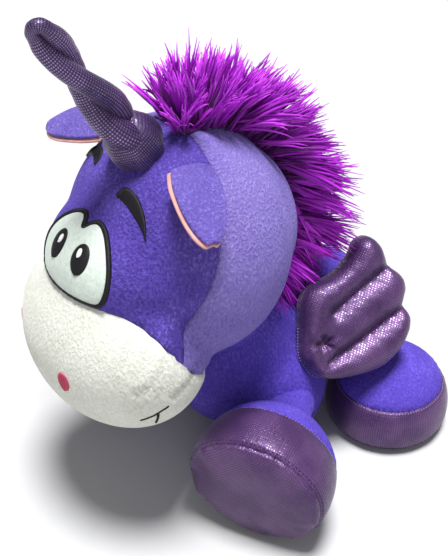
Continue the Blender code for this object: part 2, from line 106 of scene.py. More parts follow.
world = bpy.data.worlds.new("studio")
world.use_nodes = True
world.node_tree.nodes["Background"].inputs["Color"].default_value = (0.95, 0.96, 1.0, 1)
world.node_tree.nodes["Background"].inputs["Strength"].default_value = 0.30
bpy.context.scene.world = world
bpy.context.scene.view_settings.view_transform = "Standard"

bpy.ops.object.select_all(action="DESELECT")
bpy.ops.mesh.primitive_plane_add(size=12)
floor = bpy.context.object
floor.name = "floor"
floor_paint = bpy.data.materials.new("floor_paint")
floor_paint.use_nodes = True
floor_paint.node_tree.nodes["Principled BSDF"].inputs["Base Color"].default_value = (0.48, 0.48, 0.485, 1)
floor_paint.node_tree.nodes["Principled BSDF"].inputs["Roughness"].default_value = 0.9
floor.data.materials.append(floor_paint)


# --- Head filling ---
# Under the covers the head is one bag of polyester fibre: a round skull, a face that slopes forward and a
# broad muzzle below it. The covers and everything sewn on the face are laid on this shape.
NOSE_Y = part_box("muzzle_panel")[0].y / MM
CROWN_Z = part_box("face_panel")[1].z / MM
HEAD = Vector((0, NOSE_Y + 97, CROWN_Z - 96))
HEAD_BALLS = (                                  # offset from the middle of the head, half sizes
    ((0, 17, 12), (80, 73, 85)),                # skull
    ((0, -40, -40), (75, 56, 64)),              # muzzle
    ((0, -23, 15), (57, 54, 47)),               # face
    ((0, 54, 11), (59, 46, 60)),                # back of the head
)
NO_SEAM = 99                                    # stands for a seam too far off to matter
HELD_WIDTH = 2.5                                # how far from a seam the stuffing is held in
SEAM_FRONT = 8.5                                # elevation of the muzzle seam over the nose
EAR_SEAM = (Vector((0, -46, 283)), Vector((0, 0.909, -0.416)))


def select_only(*objects):
    if bpy.context.mode != "OBJECT":
        bpy.ops.object.mode_set(mode="OBJECT")
    bpy.ops.object.select_all(action="DESELECT")
    for obj in objects:
        obj.select_set(True)
        bpy.context.view_layer.objects.active = obj


def apply(obj, kind, **settings):
    """Add a modifier with these settings and apply it."""
    select_only(obj)
    modifier = obj.modifiers.new(kind.lower(), kind)
    for name, value in settings.items():
        setattr(modifier, name, value)
    bpy.ops.object.modifier_apply(modifier=modifier.name)


def points_of(obj):
    """The vertices of a mesh as an array of rows, in millimetres."""
    flat = np.empty(len(obj.data.vertices) * 3)
    obj.data.vertices.foreach_get("co", flat)
    return flat.reshape(-1, 3) / MM


def set_points(obj, points):
    obj.data.vertices.foreach_set("co", (np.asarray(points) * MM).ravel())
    obj.data.update()


def normals_of(obj):
    flat = np.empty(len(obj.data.vertices) * 3)
    obj.data.vertex_normals.foreach_get("vector", flat)
    return flat.reshape(-1, 3)


def ball(centre, half, segments=48, rings=32):
    """A ball primitive stretched to its half sizes and laid in its place."""
    select_only()
    bpy.ops.mesh.primitive_uv_sphere_add(segments=segments, ring_count=rings, radius=1)
    bpy.ops.transform.resize(value=Vector(half) * MM)
    bpy.ops.transform.translate(value=Vector(centre) * MM)
    bpy.ops.object.transform_apply(location=True, rotation=True, scale=True)
    return bpy.context.object


def joined(name, pieces):
    select_only(*pieces)
    bpy.ops.object.join()
    obj = bpy.context.object
    obj.name = obj.data.name = name
    return obj


def stuff(obj, cap, held=None, cell=4.0, steps=20):
    """Turn a shape into even cloth, press it out from inside as fibre does, and hold its seams in place."""
    apply(obj, "REMESH", mode="VOXEL", voxel_size=cell * MM)
    apply(obj, "SMOOTH", factor=0.5, iterations=5)
    rest = points_of(obj)
    select_only(obj)
    cloth = obj.modifiers.new("cloth", "CLOTH")
    cloth.settings.use_pressure = True
    cloth.settings.uniform_pressure_force = 4
    cloth.settings.effector_weights.gravity = 0
    cloth.point_cache.frame_start, cloth.point_cache.frame_end = 1, steps
    if held is not None:
        seam = obj.vertex_groups.new(name="seam")
        seam.add([int(i) for i in np.flatnonzero(held(rest))], 1, "REPLACE")
        cloth.settings.vertex_group_mass = "seam"
    for step in range(1, steps + 1):
        bpy.context.scene.frame_set(step)
    bpy.ops.object.modifier_apply(modifier=cloth.name)
    bpy.context.scene.frame_set(1)
    move = points_of(obj) - rest
    far = np.linalg.norm(move, axis=1, keepdims=True)
    set_points(obj, rest + move * (cap / np.maximum(far, cap)))
    apply(obj, "SMOOTH", factor=0.4, iterations=2)
    apply(obj, "SUBSURF", levels=1, render_levels=1)
    return obj


def heading(azimuth, elevation):
    """Unit direction: azimuth 0 is the nose's side and 90 the left."""
    a, e = math.radians(azimuth), math.radians(elevation)
    return Vector((math.sin(a) * math.cos(e), -math.cos(a) * math.cos(e), math.sin(e)))


def angles_of(points, middle):
    """Azimuths, elevations and distances of points seen from a middle."""
    away = points - np.array(middle)
    distance = np.linalg.norm(away, axis=1)
    azimuth = np.degrees(np.arctan2(away[:, 0], -away[:, 1]))
    return azimuth, np.degrees(np.arcsin(away[:, 2] / distance)), distance


def muzzle_seam(azimuth):
    """Elevation of the seam round the muzzle: level over the nose, then down behind the cheeks."""
    x = (np.abs(azimuth) / 76.7) ** 4.6
    return SEAM_FRONT - 88 * x / (1 + x)


def from_muzzle_seam(points):
    """Signed distance from the muzzle seam, positive above it."""
    azimuth, elevation, distance = angles_of(points, HEAD)
    slope = (muzzle_seam(np.abs(azimuth) + 0.5) - muzzle_seam(np.abs(azimuth) - 0.5))
    return np.radians(elevation - muzzle_seam(azimuth)) * distance / np.sqrt(1 + slope ** 2)


def from_plane(points, plane):
    return (points - np.array(plane[0])) @ np.array(plane[1])


def head_seams(points):
    """Distance from the nearest seam of the head's covers."""
    above, behind = from_muzzle_seam(points), from_plane(points, EAR_SEAM)
    ear = np.where(above > 0, np.abs(behind), NO_SEAM)
    back = np.where((above > 0) & (behind > 0), np.abs(points[:, 0]), NO_SEAM)
    return np.minimum(np.abs(above), np.minimum(ear, back))


head_form = joined("head_form", [ball(HEAD + Vector(offset), half) for offset, half in HEAD_BALLS])
stuff(head_form, 4.5, held=lambda points: head_seams(points) < HELD_WIDTH)
skin = BVHTree.FromObject(head_form, bpy.context.evaluated_depsgraph_get())


def on_head(way):
    """The point of the filling in a direction from the middle of the head."""
    hit = skin.ray_cast(HEAD * MM, way)
    return HEAD + way * (hit[3] / MM)


# --- Head covers ---
# Four plush panels: the dark face, the lighter back of the head in two halves, and a cream muzzle drawn in
# by its seam. They are cut, sewn edge to edge inside out and turned, so every seam is a sharp little valley.
CLOTH = 1.5                                     # thickness of plush with its pile
SEAM_DEPTH, SEAM_WIDTH = 1.9, 2.3
CREASES = (                     # depth, then (azimuth, elevation) along it; the same on both cheeks
    (1.9, ((59, -4), (56.8, -8.8), (53.9, -13.8), (46.9, -19.4), (43.2, -21.1))),
    (1.3, ((44, 3), (42.8, -1), (39.4, -6.8), (36.9, -11))),
    (1.0, ((50, 1), (49, -5), (46, -11), (41, -15))),
    (0.8, ((25, 6), (24.8, 2.1), (23.4, -2.9), (23.5, -6.2))),
    (0.8, ((34, 5), (33, 0), (31, -5))),
    (2.6, ((72, -22), (67.4, -24.2), (61.8, -25.1), (57.5, -26.6))),
    (1.4, ((69.5, -34.5), (62.7, -33), (57.3, -33))),
    (1.1, ((63, -11), (61, -16), (56, -20), (50, -23))),
)


class Wire:
    """A socket in a material's node tree. Arithmetic on it adds Math nodes, and add() any other node."""

    def __init__(self, tree, socket=None):
        self.tree, self.socket = tree, socket

    def add(self, kind, settings=None, inputs=None, out=0):
        """A node: its settings are set first, then the values or links of its sockets."""
        node = self.tree.nodes.new("ShaderNode" + kind)
        for name, value in (settings or {}).items():
            setattr(node, name, value)
        for name, value in (inputs or {}).items():
            if isinstance(value, Wire):
                self.tree.links.new(value.socket, node.inputs[name])
            else:
                node.inputs[name].default_value = value
        return Wire(self.tree, node.outputs[out])

    def maths(self, operation, first, second):
        return self.add("Math", {"operation": operation}, {0: first, 1: second})

    def __add__(self, other):
        return self.maths("ADD", self, other)

    def __radd__(self, other):
        return self.maths("ADD", other, self)

    def __sub__(self, other):
        return self.maths("SUBTRACT", self, other)

    def __rsub__(self, other):
        return self.maths("SUBTRACT", other, self)

    def __mul__(self, other):
        return self.maths("MULTIPLY", self, other)

    def __rmul__(self, other):
        return self.maths("MULTIPLY", other, self)

    def object_place(self):
        return self.add("TexCoord", out="Object")

    def noise(self, place, scale, detail, **more):
        inputs = {"Vector": place, "Scale": scale, "Detail": detail, **more}
        return self.add("TexNoise", inputs=inputs, out="Fac")

    def bump(self, height, distance, strength):
        inputs = {"Height": height, "Distance": distance, "Strength": strength}
        return self.add("Bump", inputs=inputs, out="Normal")

    def vector(self, operation, first, second, out=0):
        return self.add("VectorMath", {"operation": operation}, {0: first, 1: second}, out)

    def between(self, low, high):
        """0 below low and 1 above high, smoothly."""
        return self.add("MapRange", {"interpolation_type": "SMOOTHSTEP"}, {0: self, 1: low, 2: high})

    def colours(self, first, second):
        """The first colour where this is 0 and the second where it is 1."""
        pair = [c if isinstance(c, Wire) else (*c, 1) for c in (first, second)]
        return self.add("Mix", {"data_type": "RGBA"}, {0: self, 6: pair[0], 7: pair[1]}, out=2)


def finish_of(name, fixed):
    """A Principled material with these fixed values, a wire to start its nodes from and a way to feed it."""
    made = bpy.data.materials.new(name)
    made.use_nodes = True
    shader = made.node_tree.nodes["Principled BSDF"]
    for socket, value in fixed.items():
        shader.inputs[socket].default_value = value

    def feed(socket, wire):
        made.node_tree.links.new(wire.socket, shader.inputs[socket])
    return made, Wire(made.node_tree), feed


def plush(name, valley_shade, pile, tip, grain=620.0, rough=0.86, depth=0.0018):
    """Short cut pile: tiny tufts combed one way, with patches where a hand's brushing has laid it the other
    way; its colour is painted shade in the valleys between the tufts, painted light on their tops and painted
    sheen over those patches.
    """
    made, start, feed = finish_of(name, {
        "Sheen Weight": 0.30, "Sheen Roughness": 0.40, "Sheen Tint": (*tip, 1), "Specular IOR Level": 0.15,
    })
    place = start.object_place()
    combed = start.add("Mapping", inputs={
        "Vector": place, "Rotation": (0.5, 0.6, 0.3), "Scale": (1.0, 1.0, 0.6)})
    tufts = start.noise(combed, grain, 3, Roughness=0.55)
    fine = start.noise(place, grain * 2.6, 2)
    brushed_sheen = start.noise(place, 22, 2, Distortion=0.6)
    # The colour follows the tufts and the pile's lean: painted shade in the low places, painted light on the
    # tops, painted sheen where the pile leans.
    height = tufts.between(0.30, 0.70) * 0.7 + fine * 0.3
    lean = brushed_sheen.between(0.34, 0.68)
    shade = 0.10 + height * 0.62 + lean * 0.22
    shaded_base = shade.between(0.0, 0.5).colours(valley_shade, pile)
    feed("Base Color", shade.between(0.5, 1.0).colours(shaded_base, tip))
    feed("Roughness", rough + height * 0.1)
    feed("Normal", start.bump(height, depth, 0.75))
    return made


def dress(piece, finish, body, nodes=()):
    """Give a finished piece its material, its body and the frame nodes that it stands for."""
    piece.data.materials.clear()
    piece.data.materials.append(finish)
    piece.data.polygons.foreach_set("use_smooth", [True] * len(piece.data.polygons))
    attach(piece, body)
    if nodes:
        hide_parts(*nodes)
    return piece


def edit(obj, *steps):
    """Run edit-mode operators, given as (operator, settings), on the whole of a mesh."""
    select_only(obj)
    bpy.ops.object.mode_set(mode="EDIT")
    bpy.ops.mesh.select_all(action="SELECT")
    for operator, settings in steps:
        operator(**settings)
    bpy.ops.object.mode_set(mode="OBJECT")


def keep_points(obj, name, points):
    """Note where the vertices lie before they are pulled about, as an attribute."""
    attribute = obj.data.attributes.new(name, "FLOAT_VECTOR", "POINT")
    attribute.data.foreach_set("vector", points.astype(np.float32).ravel())


def kept_points(obj, name):
    flat = np.empty(len(obj.data.vertices) * 3, np.float32)
    obj.data.attributes[name].data.foreach_get("vector", flat)
    return flat.reshape(-1, 3)


def score(obj, *fields):
    """Cut a mesh, without parting it, along the line where each field is 0, so its panels meet cleanly.

    A field gives a number for each point. The mesh is laid out flat with that number as its x, bisected at
    x = 0 and put back, its places kept meanwhile as an attribute that the cut carries over to new vertices.
    """
    for field in fields:
        points = points_of(obj)
        keep_points(obj, "kept", points)
        value = field(points)
        value = np.where(np.abs(value) < 0.02, 0.0, value)
        set_points(obj, np.column_stack((value, points[:, 1] + 0.01 * points[:, 0], points[:, 2])))
        edit(obj, (bpy.ops.mesh.bisect, {"plane_co": (0, 0, 0), "plane_no": (1, 0, 0), "threshold": 1e-8}))
        places = kept_points(obj, "kept")
        obj.data.attributes.remove(obj.data.attributes["kept"])
        set_points(obj, places.astype(float))


def copy_of(obj, name):
    """A copy with its own mesh, and without the first's custom properties."""
    piece = obj.copy()
    for key in list(piece.keys()):
        del piece[key]
    piece.data = obj.data.copy()
    piece.name = piece.data.name = name
    bpy.context.scene.collection.objects.link(piece)
    return piece


def panel(cover, name, keep, thickness=CLOTH):
    """One sewn panel: a copy of the cover with only the faces that keep() picks, as thick as its cloth.

    The picking is done on the places that the vertices had before sewing, so that it follows the cuts.
    """
    piece = copy_of(cover, name)
    rest = kept_points(piece, "rest")
    wanted = keep(np.array([rest[list(face.vertices)].mean(axis=0) for face in piece.data.polygons]))
    select_only(piece)
    bpy.ops.object.mode_set(mode="EDIT")
    bpy.ops.mesh.select_all(action="DESELECT")
    bpy.ops.mesh.select_mode(type="FACE")
    bpy.ops.object.mode_set(mode="OBJECT")
    piece.data.polygons.foreach_set("select", ~wanted)
    bpy.ops.object.mode_set(mode="EDIT")
    bpy.ops.mesh.delete(type="FACE")
    bpy.ops.object.mode_set(mode="OBJECT")
    apply(piece, "SOLIDIFY", thickness=thickness * MM, offset=-1, use_even_offset=False)
    return piece


def sew(cover, distance, depth=SEAM_DEPTH, width=SEAM_WIDTH, pucker=0.5):
    """Pull a cover in along its seams, with small puckers that fade out beside them."""
    points, normals = points_of(cover), normals_of(cover)
    if "rest" not in cover.data.attributes:
        keep_points(cover, "rest", points)
    wave = np.sin(points @ np.array((0.83, 0.71, 0.95))) * np.sin(points @ np.array((-0.31, 0.55, 0.42)))
    dip = depth * np.exp(-(distance / width) ** 2) + pucker * wave * np.exp(-(distance / 7.0) ** 2)
    set_points(cover, points - normals * dip[:, None])


def line_distance(points, line):
    """Distance of each point from a chain of straight steps."""
    best = np.full(len(points), 1e9)
    for a, b in zip(line, line[1:]):
        a, b = np.array(a), np.array(b)
        t = np.clip((points - a) @ (b - a) / ((b - a) @ (b - a)), 0, 1)
        best = np.minimum(best, np.linalg.norm(points - (a + t[:, None] * (b - a)), axis=1))
    return best


select_only()
bpy.ops.mesh.primitive_uv_sphere_add(segments=184, ring_count=104, radius=100 * MM)
head_cover = bpy.context.object
around, up, _ = angles_of(points_of(head_cover), (0, 0, 0))
seam_up = muzzle_seam(around)
up = np.where(up >= 0, seam_up + (90 - seam_up) * up / 90, seam_up + (90 + seam_up) * up / 90)
set_points(head_cover, [on_head(heading(a, e)) for a, e in zip(around, up)])
apply(head_cover, "SMOOTH", factor=0.5, iterations=4)
score(head_cover, from_muzzle_seam, lambda p: from_plane(p, EAR_SEAM), lambda p: p[:, 0])
head_points = points_of(head_cover)
keep_points(head_cover, "rest", head_points)
mirrored_points = head_points * np.where(head_points[:, :1] < 0, (-1, 1, 1), (1, 1, 1))
fold = np.zeros(len(head_points))
for depth, line in CREASES:
    gap = line_distance(mirrored_points, [on_head(heading(*place)) for place in line])
    fold += 1.25 * depth * (np.exp(-(gap / 1.7) ** 2) - 0.35 * np.exp(-((gap - 4.2) / 2.2) ** 2))
set_points(head_cover, head_points - normals_of(head_cover) * fold[:, None])
sew(head_cover, head_seams(head_points))
apply(head_cover, "SMOOTH", factor=0.3, iterations=1)

# Each plush's first colour is painted shade for the valleys between its tufts and its last painted light for
# their tops; the middle one is its own colour.
dark_plush = plush("dark_plush", (0.034, 0.016, 0.170), (0.088, 0.054, 0.340), (0.190, 0.140, 0.560))
light_plush = plush("light_plush", (0.090, 0.060, 0.300), (0.205, 0.155, 0.480), (0.320, 0.265, 0.640))
cream_plush = plush("cream_plush", (0.450, 0.445, 0.370), (0.640, 0.650, 0.580), (0.780, 0.795, 0.730),
                    600, 0.9, 0.0006)

face = panel(head_cover, "face_cover",
             lambda c: (from_muzzle_seam(c) > 0) & (from_plane(c, EAR_SEAM) < 0))
dress(face, dark_plush, "head", ("face_panel", "head_stuffing"))
for side, word in ((1, "left"), (-1, "right")):
    back = panel(head_cover, f"back_of_head_cover_{word}",
                 lambda c: (from_muzzle_seam(c) > 0) & (from_plane(c, EAR_SEAM) > 0) & (c[:, 0] * side > 0))
    dress(back, light_plush, "head", (f"back_of_head_{word}",))
muzzle = panel(head_cover, "muzzle_cover", lambda c: from_muzzle_seam(c) < 0)
dress(muzzle, cream_plush, "head", ("muzzle_panel",))
face_skin = BVHTree.FromObject(head_cover, bpy.context.evaluated_depsgraph_get())
bpy.data.objects.remove(head_cover)
bpy.data.objects.remove(head_form)


# --- Face embroidery ---
# One felt patch backs both eyes. Its outline, the pupils, brows, nostrils and mouth are satin stitch: rows
# of thread laid side by side across the shape, each row a fine raised ridge.
EYE_MIDDLE = (0, 27)
EYE_HALF = ((0, 43.0), (3.5, 46.3), (8, 48), (14, 46.8), (20, 42.5), (25, 35), (27.5, 26), (26.5, 16.5),
            (22.5, 10.5), (12, 10), (0, 10))
OUTLINE_WIDTH = 1.8                             # half the width of the stitched outline
PUPIL = ((9.6, 29.5), (8.1, 10.2))              # middle as (azimuth, elevation), half sizes in millimetres
GLINT = ((8.6, 32.3), (2.3, 3.0))
NOSTRIL = ((11.5, -23.5), (5.2, 7.0))
FURTHER_ROUND = 30                              # degrees that the right brow lies further round the head
NOSTRIL_SHARE = 0.75                            # of that, for the right nostril
BROW = ((14, 62.5), (19, 64), (26, 63), (33, 60.5), (39.5, 56), (43.5, 51), (45.5, 45.5))
BROW_HALF_WIDTHS = (1.6, 3.6, 4.3, 4.1, 3.3, 1.9, 0.3)
MOUTH = ((43.5, -34.5), (48, -33), (50.5, -31.8), (55, -29.5))
MOUTH_TICK = ((50.5, -31.8), (50.4, -35), (49.3, -39.5))
THREAD_PITCH = 0.8


def smooth_point(line, t, closed=False):
    """The point at fraction t of a smooth curve through a list of points."""
    count = len(line) - (0 if closed else 1)
    place = (t % 1.0 if closed else min(max(t, 0.0), 0.99999)) * count
    i, f = int(place), place - int(place)
    pick = (lambda k: line[k % len(line)]) if closed else (lambda k: line[min(max(k, 0), len(line) - 1)])
    a, b, c, d = (np.array(pick(i + k), float) for k in (-1, 0, 1, 2))
    return b + 0.5 * f * (c - a + f * (2 * a - 5 * b + 4 * c - d + f * (3 * (b - c) + d - a)))


def toward(azimuth, elevation):
    """A point well outside the head in a direction, for on_face() to bring in."""
    return HEAD + heading(azimuth, elevation) * 100


def on_face(point, lift):
    """A point moved straight out from the middle of the head until it lies on the cover."""
    way = (Vector(point) - HEAD).normalized()
    hit = face_skin.ray_cast(HEAD * MM, way)
    return HEAD + way * (hit[3] / MM + lift)


def grid(name, columns, rows):
    """A flat grid primitive, and its two coordinates, the first from 0 to 1 and the second from -1 to 1."""
    select_only()
    bpy.ops.mesh.primitive_grid_add(x_subdivisions=columns, y_subdivisions=rows, size=2)
    obj = bpy.context.object
    obj.name = obj.data.name = name
    flat = points_of(obj) * MM
    return obj, (flat[:, 0] + 1) / 2, flat[:, 1]


def tidy_shell(obj, thickness, offset=-1.0, outward=None):
    """Weld a sheet where it closes on itself, turn it outwards and give it its thickness."""
    edit(obj, (bpy.ops.mesh.remove_doubles, {"threshold": 2e-5}),
         (bpy.ops.mesh.normals_make_consistent, {"inside": False}))
    if outward is not None and np.sum(normals_of(obj) @ np.array(outward)) < 0:
        edit(obj, (bpy.ops.mesh.flip_normals, {}))
    apply(obj, "SOLIDIFY", thickness=thickness * MM, offset=offset)


def outward_at(obj):
    return Vector(points_of(obj).mean(axis=0)) - HEAD


def satin(name, centre, half_width, length, height, rows=7):
    """A band of satin stitch on the face: centre(t) is a point near it, half_width(t) in millimetres."""
    columns = max(12, int(length / THREAD_PITCH * 4))
    obj, along, across = grid(name, columns, rows)
    places = []
    for t, s in zip(along, across):
        here, ahead = on_face(centre(t - 0.004), 0), on_face(centre(t + 0.004), 0)
        middle = (here + ahead) / 2
        sideways = (ahead - here).cross(middle - HEAD).normalized()
        ridge = 0.16 * math.cos(2 * math.pi * t * length / THREAD_PITCH)
        rise = (height + ridge) * math.sqrt(max(0.0, 1 - s * s)) + 0.15
        places.append(on_face(middle + sideways * (s * half_width(t)), rise))
    set_points(obj, places)
    tidy_shell(obj, 0.9, outward=outward_at(obj))
    return obj


def satin_oval(name, middle, half, side, lift):
    """An oval filled with satin stitch, wide and high as given, with its rows across its height."""
    centre = on_face(toward(side * middle[0], middle[1]), 0)
    out = (centre - HEAD).normalized()
    right = Vector((0, 0, 1)).cross(out).normalized()
    top = out.cross(right).normalized()
    return satin(
        name, lambda t: centre + top * (half[1] * (2 * t - 1)),
        lambda t: half[0] * math.sqrt(max(0.0006, 1 - (2 * min(max(t, 0), 1) - 1) ** 2)), half[1] * 2, lift,
    )


def thread(name, colour, rough=0.38):
    """Rayon embroidery thread: painted shade darkens it in the valleys between the rows, and it has a silky
    shine.
    """
    made, start, feed = finish_of(name, {"Specular IOR Level": 0.22})
    place = start.object_place()
    twist_shade = start.noise(place, 900, 2)
    # The darker colour, 0.72 of the thread's own, is painted shade where the noise is low.
    feed("Base Color", twist_shade.between(0.3, 0.7).colours([0.72 * c for c in colour], colour))
    feed("Roughness", rough + twist_shade * 0.2)
    feed("Normal", start.bump(twist_shade, 0.0002, 0.5))
    return made


black_thread = thread("black_thread", (0.010, 0.009, 0.012))
white_thread = thread("white_thread", (0.86, 0.87, 0.85))
pink_thread = thread("pink_thread", (0.560, 0.075, 0.140), 0.5)
# The felt's first colour is painted shade in its valleys, its last painted light on its tops.
felt = plush("eye_felt", (0.46, 0.53, 0.47), (0.57, 0.64, 0.58), (0.66, 0.73, 0.67), 420, 0.9, 0.0003)

eye_line = list(EYE_HALF) + [(-a, e) for a, e in reversed(EYE_HALF[1:-1])]
patch, round_it, inwards = grid("eye_patch_felt", 120, 26)
places = []
for t, s in zip(round_it, inwards):
    edge, part = smooth_point(eye_line, t, closed=True), (s + 1) / 2
    spot = np.array(EYE_MIDDLE) + (edge - np.array(EYE_MIDDLE)) * part
    places.append(on_face(toward(*spot), 0.25 + 0.55 * math.sqrt(max(0.0, 1 - part ** 10))))
set_points(patch, places)
tidy_shell(patch, 0.7, outward=outward_at(patch))
dress(patch, felt, "head", ("eye_patch",))


def on_eye_line(t):
    return toward(*smooth_point(eye_line, t, closed=True))


outline = satin("eye_outline_stitch", on_eye_line, lambda t: OUTLINE_WIDTH, 190, 1.3)
dress(outline, black_thread, "head", ("eye_outline",))
for side, word in ((1, "left"), (-1, "right")):
    for part, (middle, half), finish, slot, lift in (
        ("pupil", PUPIL, black_thread, "black_thread", 1.5),
        ("glint", GLINT, white_thread, "white_thread", 2.3),
        ("nostril", NOSTRIL, pink_thread, "pink_thread", 0.7),
    ):
        if part == "nostril" and side < 0:
            middle = (middle[0] + FURTHER_ROUND * NOSTRIL_SHARE, middle[1])
        spot = satin_oval(f"{part}_stitch_{word}", middle, half, side, lift)
        dress(spot, finish, "head", (f"{part}_{word}",))

    def brow_at(t):
        azimuth, elevation = smooth_point(BROW, t)
        azimuth = side * azimuth - (FURTHER_ROUND if side < 0 else 0)
        return toward(azimuth, elevation)

    brow_widths = [(width,) for width in BROW_HALF_WIDTHS]
    brow = satin(f"brow_stitch_{word}", brow_at, lambda t: smooth_point(brow_widths, t)[0], 52, 1.1)
    dress(brow, black_thread, "head", (f"brow_{word}",))
    strokes = []
    for line, half, length in ((MOUTH, 0.55, 20), (MOUTH_TICK, 0.95, 13)):
        strokes.append(satin(
            "stroke", lambda t, line=line: toward(*(smooth_point(line, t) * np.array((side, 1)))),
            lambda t, half=half: half, length, 0.7, rows=5,
        ))
    mouth = joined(f"mouth_line_{word}", strokes)
    dress(mouth, black_thread, "head", (f"mouth_stitch_{word}",))


# --- Horn ---
# A long stuffed tube of dark foil-dotted knit, folded in two and twisted round itself, so that the fold
# makes a notched tip. Both ends run into a stuffed foot, which is sewn down to the crown.
HORN_ROOT = joint["horn_bend"]
HORN_AXIS = Vector((0, -0.535, 0.845))
HORN_SIDE = Vector((1, 0, 0))
FOLD_HEIGHT = 104                               # where the tube turns over, from the root
TUBE_RADII = ((0, 9.6), (18, 9.3), (34, 8.3), (55, 7.2), (80, 6.6), (96, 6.2), (104, 4.8))
TUBE_OFFSETS = ((0, 6.8), (20, 6.4), (42, 5.4), (60, 5.0), (90, 4.9), (104, 4.2))
TWIST = 3.2                                     # degrees of turn for each millimetre of height
HORN_FOOT_HALF = (18.5, 18.5, 20)
DOT_PITCH = 1.7


def graph(points, x):
    return float(np.interp(x, [p[0] for p in points], [p[1] for p in points]))


def horn_place(height, offset, angle):
    turn = math.radians(angle)
    out = HORN_SIDE * math.cos(turn) + HORN_AXIS.cross(HORN_SIDE) * math.sin(turn)
    return HORN_ROOT + HORN_AXIS * height + out * offset


def tube_place(height, angle):
    """A point on one side of the twisted tube, by the angle at which that side goes into the fold."""
    return horn_place(height, graph(TUBE_OFFSETS, height), angle + TWIST * (FOLD_HEIGHT - 10 - height))


def tube(name, route, radii, sides=5):
    """A stuffed tube along a route, as a curve made a mesh, with a knit map along and round it."""
    curve = bpy.data.curves.new(name, "CURVE")
    curve.dimensions, curve.bevel_depth, curve.bevel_resolution = "3D", MM, sides
    curve.use_fill_caps = True
    spline = curve.splines.new("POLY")
    spline.points.add(len(route) - 1)
    for point, place, radius in zip(spline.points, route, radii):
        point.co, point.radius = (*(place * MM), 1), radius
    obj = bpy.data.objects.new(name, curve)
    bpy.context.scene.collection.objects.link(obj)
    select_only(obj)
    bpy.ops.object.convert(target="MESH")
    edit(obj, (bpy.ops.mesh.remove_doubles, {"threshold": 1e-6}),
         (bpy.ops.mesh.normals_make_consistent, {"inside": False}))
    length = sum((b - a).length for a, b in zip(route, route[1:]))
    layer = obj.data.uv_layers[0]
    layer.name = "knit"
    flat = np.empty(len(layer.data) * 2)
    layer.data.foreach_get("uv", flat)
    round_it = 2 * math.pi * sum(radii) / len(radii)
    layer.data.foreach_set("uv", (flat.reshape(-1, 2) * (length * MM, round_it * MM)).ravel())
    return obj


def knit_map(obj, origin, axis, radius=None):
    """Lay the knit on a piece: round an axis at a radius, or flat across it, as a UV map in metres."""
    for layer in list(obj.data.uv_layers):
        obj.data.uv_layers.remove(layer)
    z = Vector(axis).normalized()
    x = z.orthogonal().normalized()
    local = (points_of(obj) - np.array(origin)) @ np.array((x, z.cross(x), z)).T
    corner = np.empty(len(obj.data.loops), int)
    obj.data.loops.foreach_get("vertex_index", corner)
    if radius is None:
        spread = local[corner][:, :2]
    else:
        starts, totals = (np.empty(len(obj.data.polygons), int) for _ in range(2))
        obj.data.polygons.foreach_get("loop_start", starts)
        obj.data.polygons.foreach_get("loop_total", totals)
        turn = np.arctan2(local[:, 1], local[:, 0])[corner]
        first = turn[np.repeat(starts, totals)]
        turn = first + (turn - first + math.pi) % (2 * math.pi) - math.pi
        spread = np.column_stack((turn * radius, local[corner][:, 2]))
    obj.data.uv_layers.new(name="knit").data.foreach_set("uv", (spread * MM).ravel())


def foil_knit(name, knit, shine, spot, weave=0.12):
    """Stretch knit with a foil dot in every cell of a square grid, each dot lying at its own small tilt;
    painted sheen lightens the ground in patches, and painted glints brighten the dots there and at random.
    """
    made, start, feed = finish_of(name, {
        "Sheen Weight": 0.12, "Sheen Roughness": 0.35, "Specular IOR Level": 0.55})
    flat = start.add("UVMap", {"uv_map": "knit"}, out="UV")
    cells = start.add("VectorMath", {"operation": "SCALE"}, {0: flat, "Scale": 1 / (DOT_PITCH * MM)})
    corner = start.add("VectorMath", {"operation": "FLOOR"}, {0: cells})
    inside = start.vector("SUBTRACT", start.vector("SUBTRACT", cells, corner), (0.5, 0.5, 0.0))
    away = start.add("VectorMath", {"operation": "LENGTH"}, {0: inside}, out="Value")
    dot = 1 - away.between(0.22, 0.36)
    chance = start.add("TexWhiteNoise", {"noise_dimensions": "2D"}, {"Vector": corner}, out="Color")
    tilt = start.vector("SUBTRACT", chance, (0.5, 0.5, 0.5))
    slope = start.vector("DOT_PRODUCT", tilt, inside, "Value")
    place = start.object_place()
    sheen_patch = start.noise(place, 38, 3).between(0.35, 0.65)
    rib = start.noise(place, 1500, 1)
    # The ground is the knit's colour with painted sheen, the shine colour, laid in patches.
    ground = sheen_patch.colours(knit, shine)
    dot_glint = start.add("TexWhiteNoise", {"noise_dimensions": "2D"}, {"Vector": corner}, out="Value")
    # The dots are painted brighter in the sheen patches and at random: painted glints.
    feed("Base Color", (dot * (0.35 + 0.4 * sheen_patch + 0.25 * dot_glint)).colours(ground, spot))
    feed("Metallic", 0.25 + 0.65 * dot)
    feed("Roughness", 0.44 - 0.18 * dot + weave * rib)
    height = dot * 0.25 + slope * dot * 0.9 + rib * 0.12
    feed("Normal", start.bump(height, 0.0005, 0.8))
    return made


# Each foil's second colour is painted sheen on the knit; the first is the knit's own colour and the third the
# foil dots'.
horn_foil = foil_knit("horn_foil_knit", (0.020, 0.005, 0.055), (0.036, 0.011, 0.080), (0.400, 0.290, 0.500))
hoof_foil = foil_knit("hoof_foil_knit", (0.046, 0.014, 0.085), (0.080, 0.031, 0.125), (0.210, 0.118, 0.255))

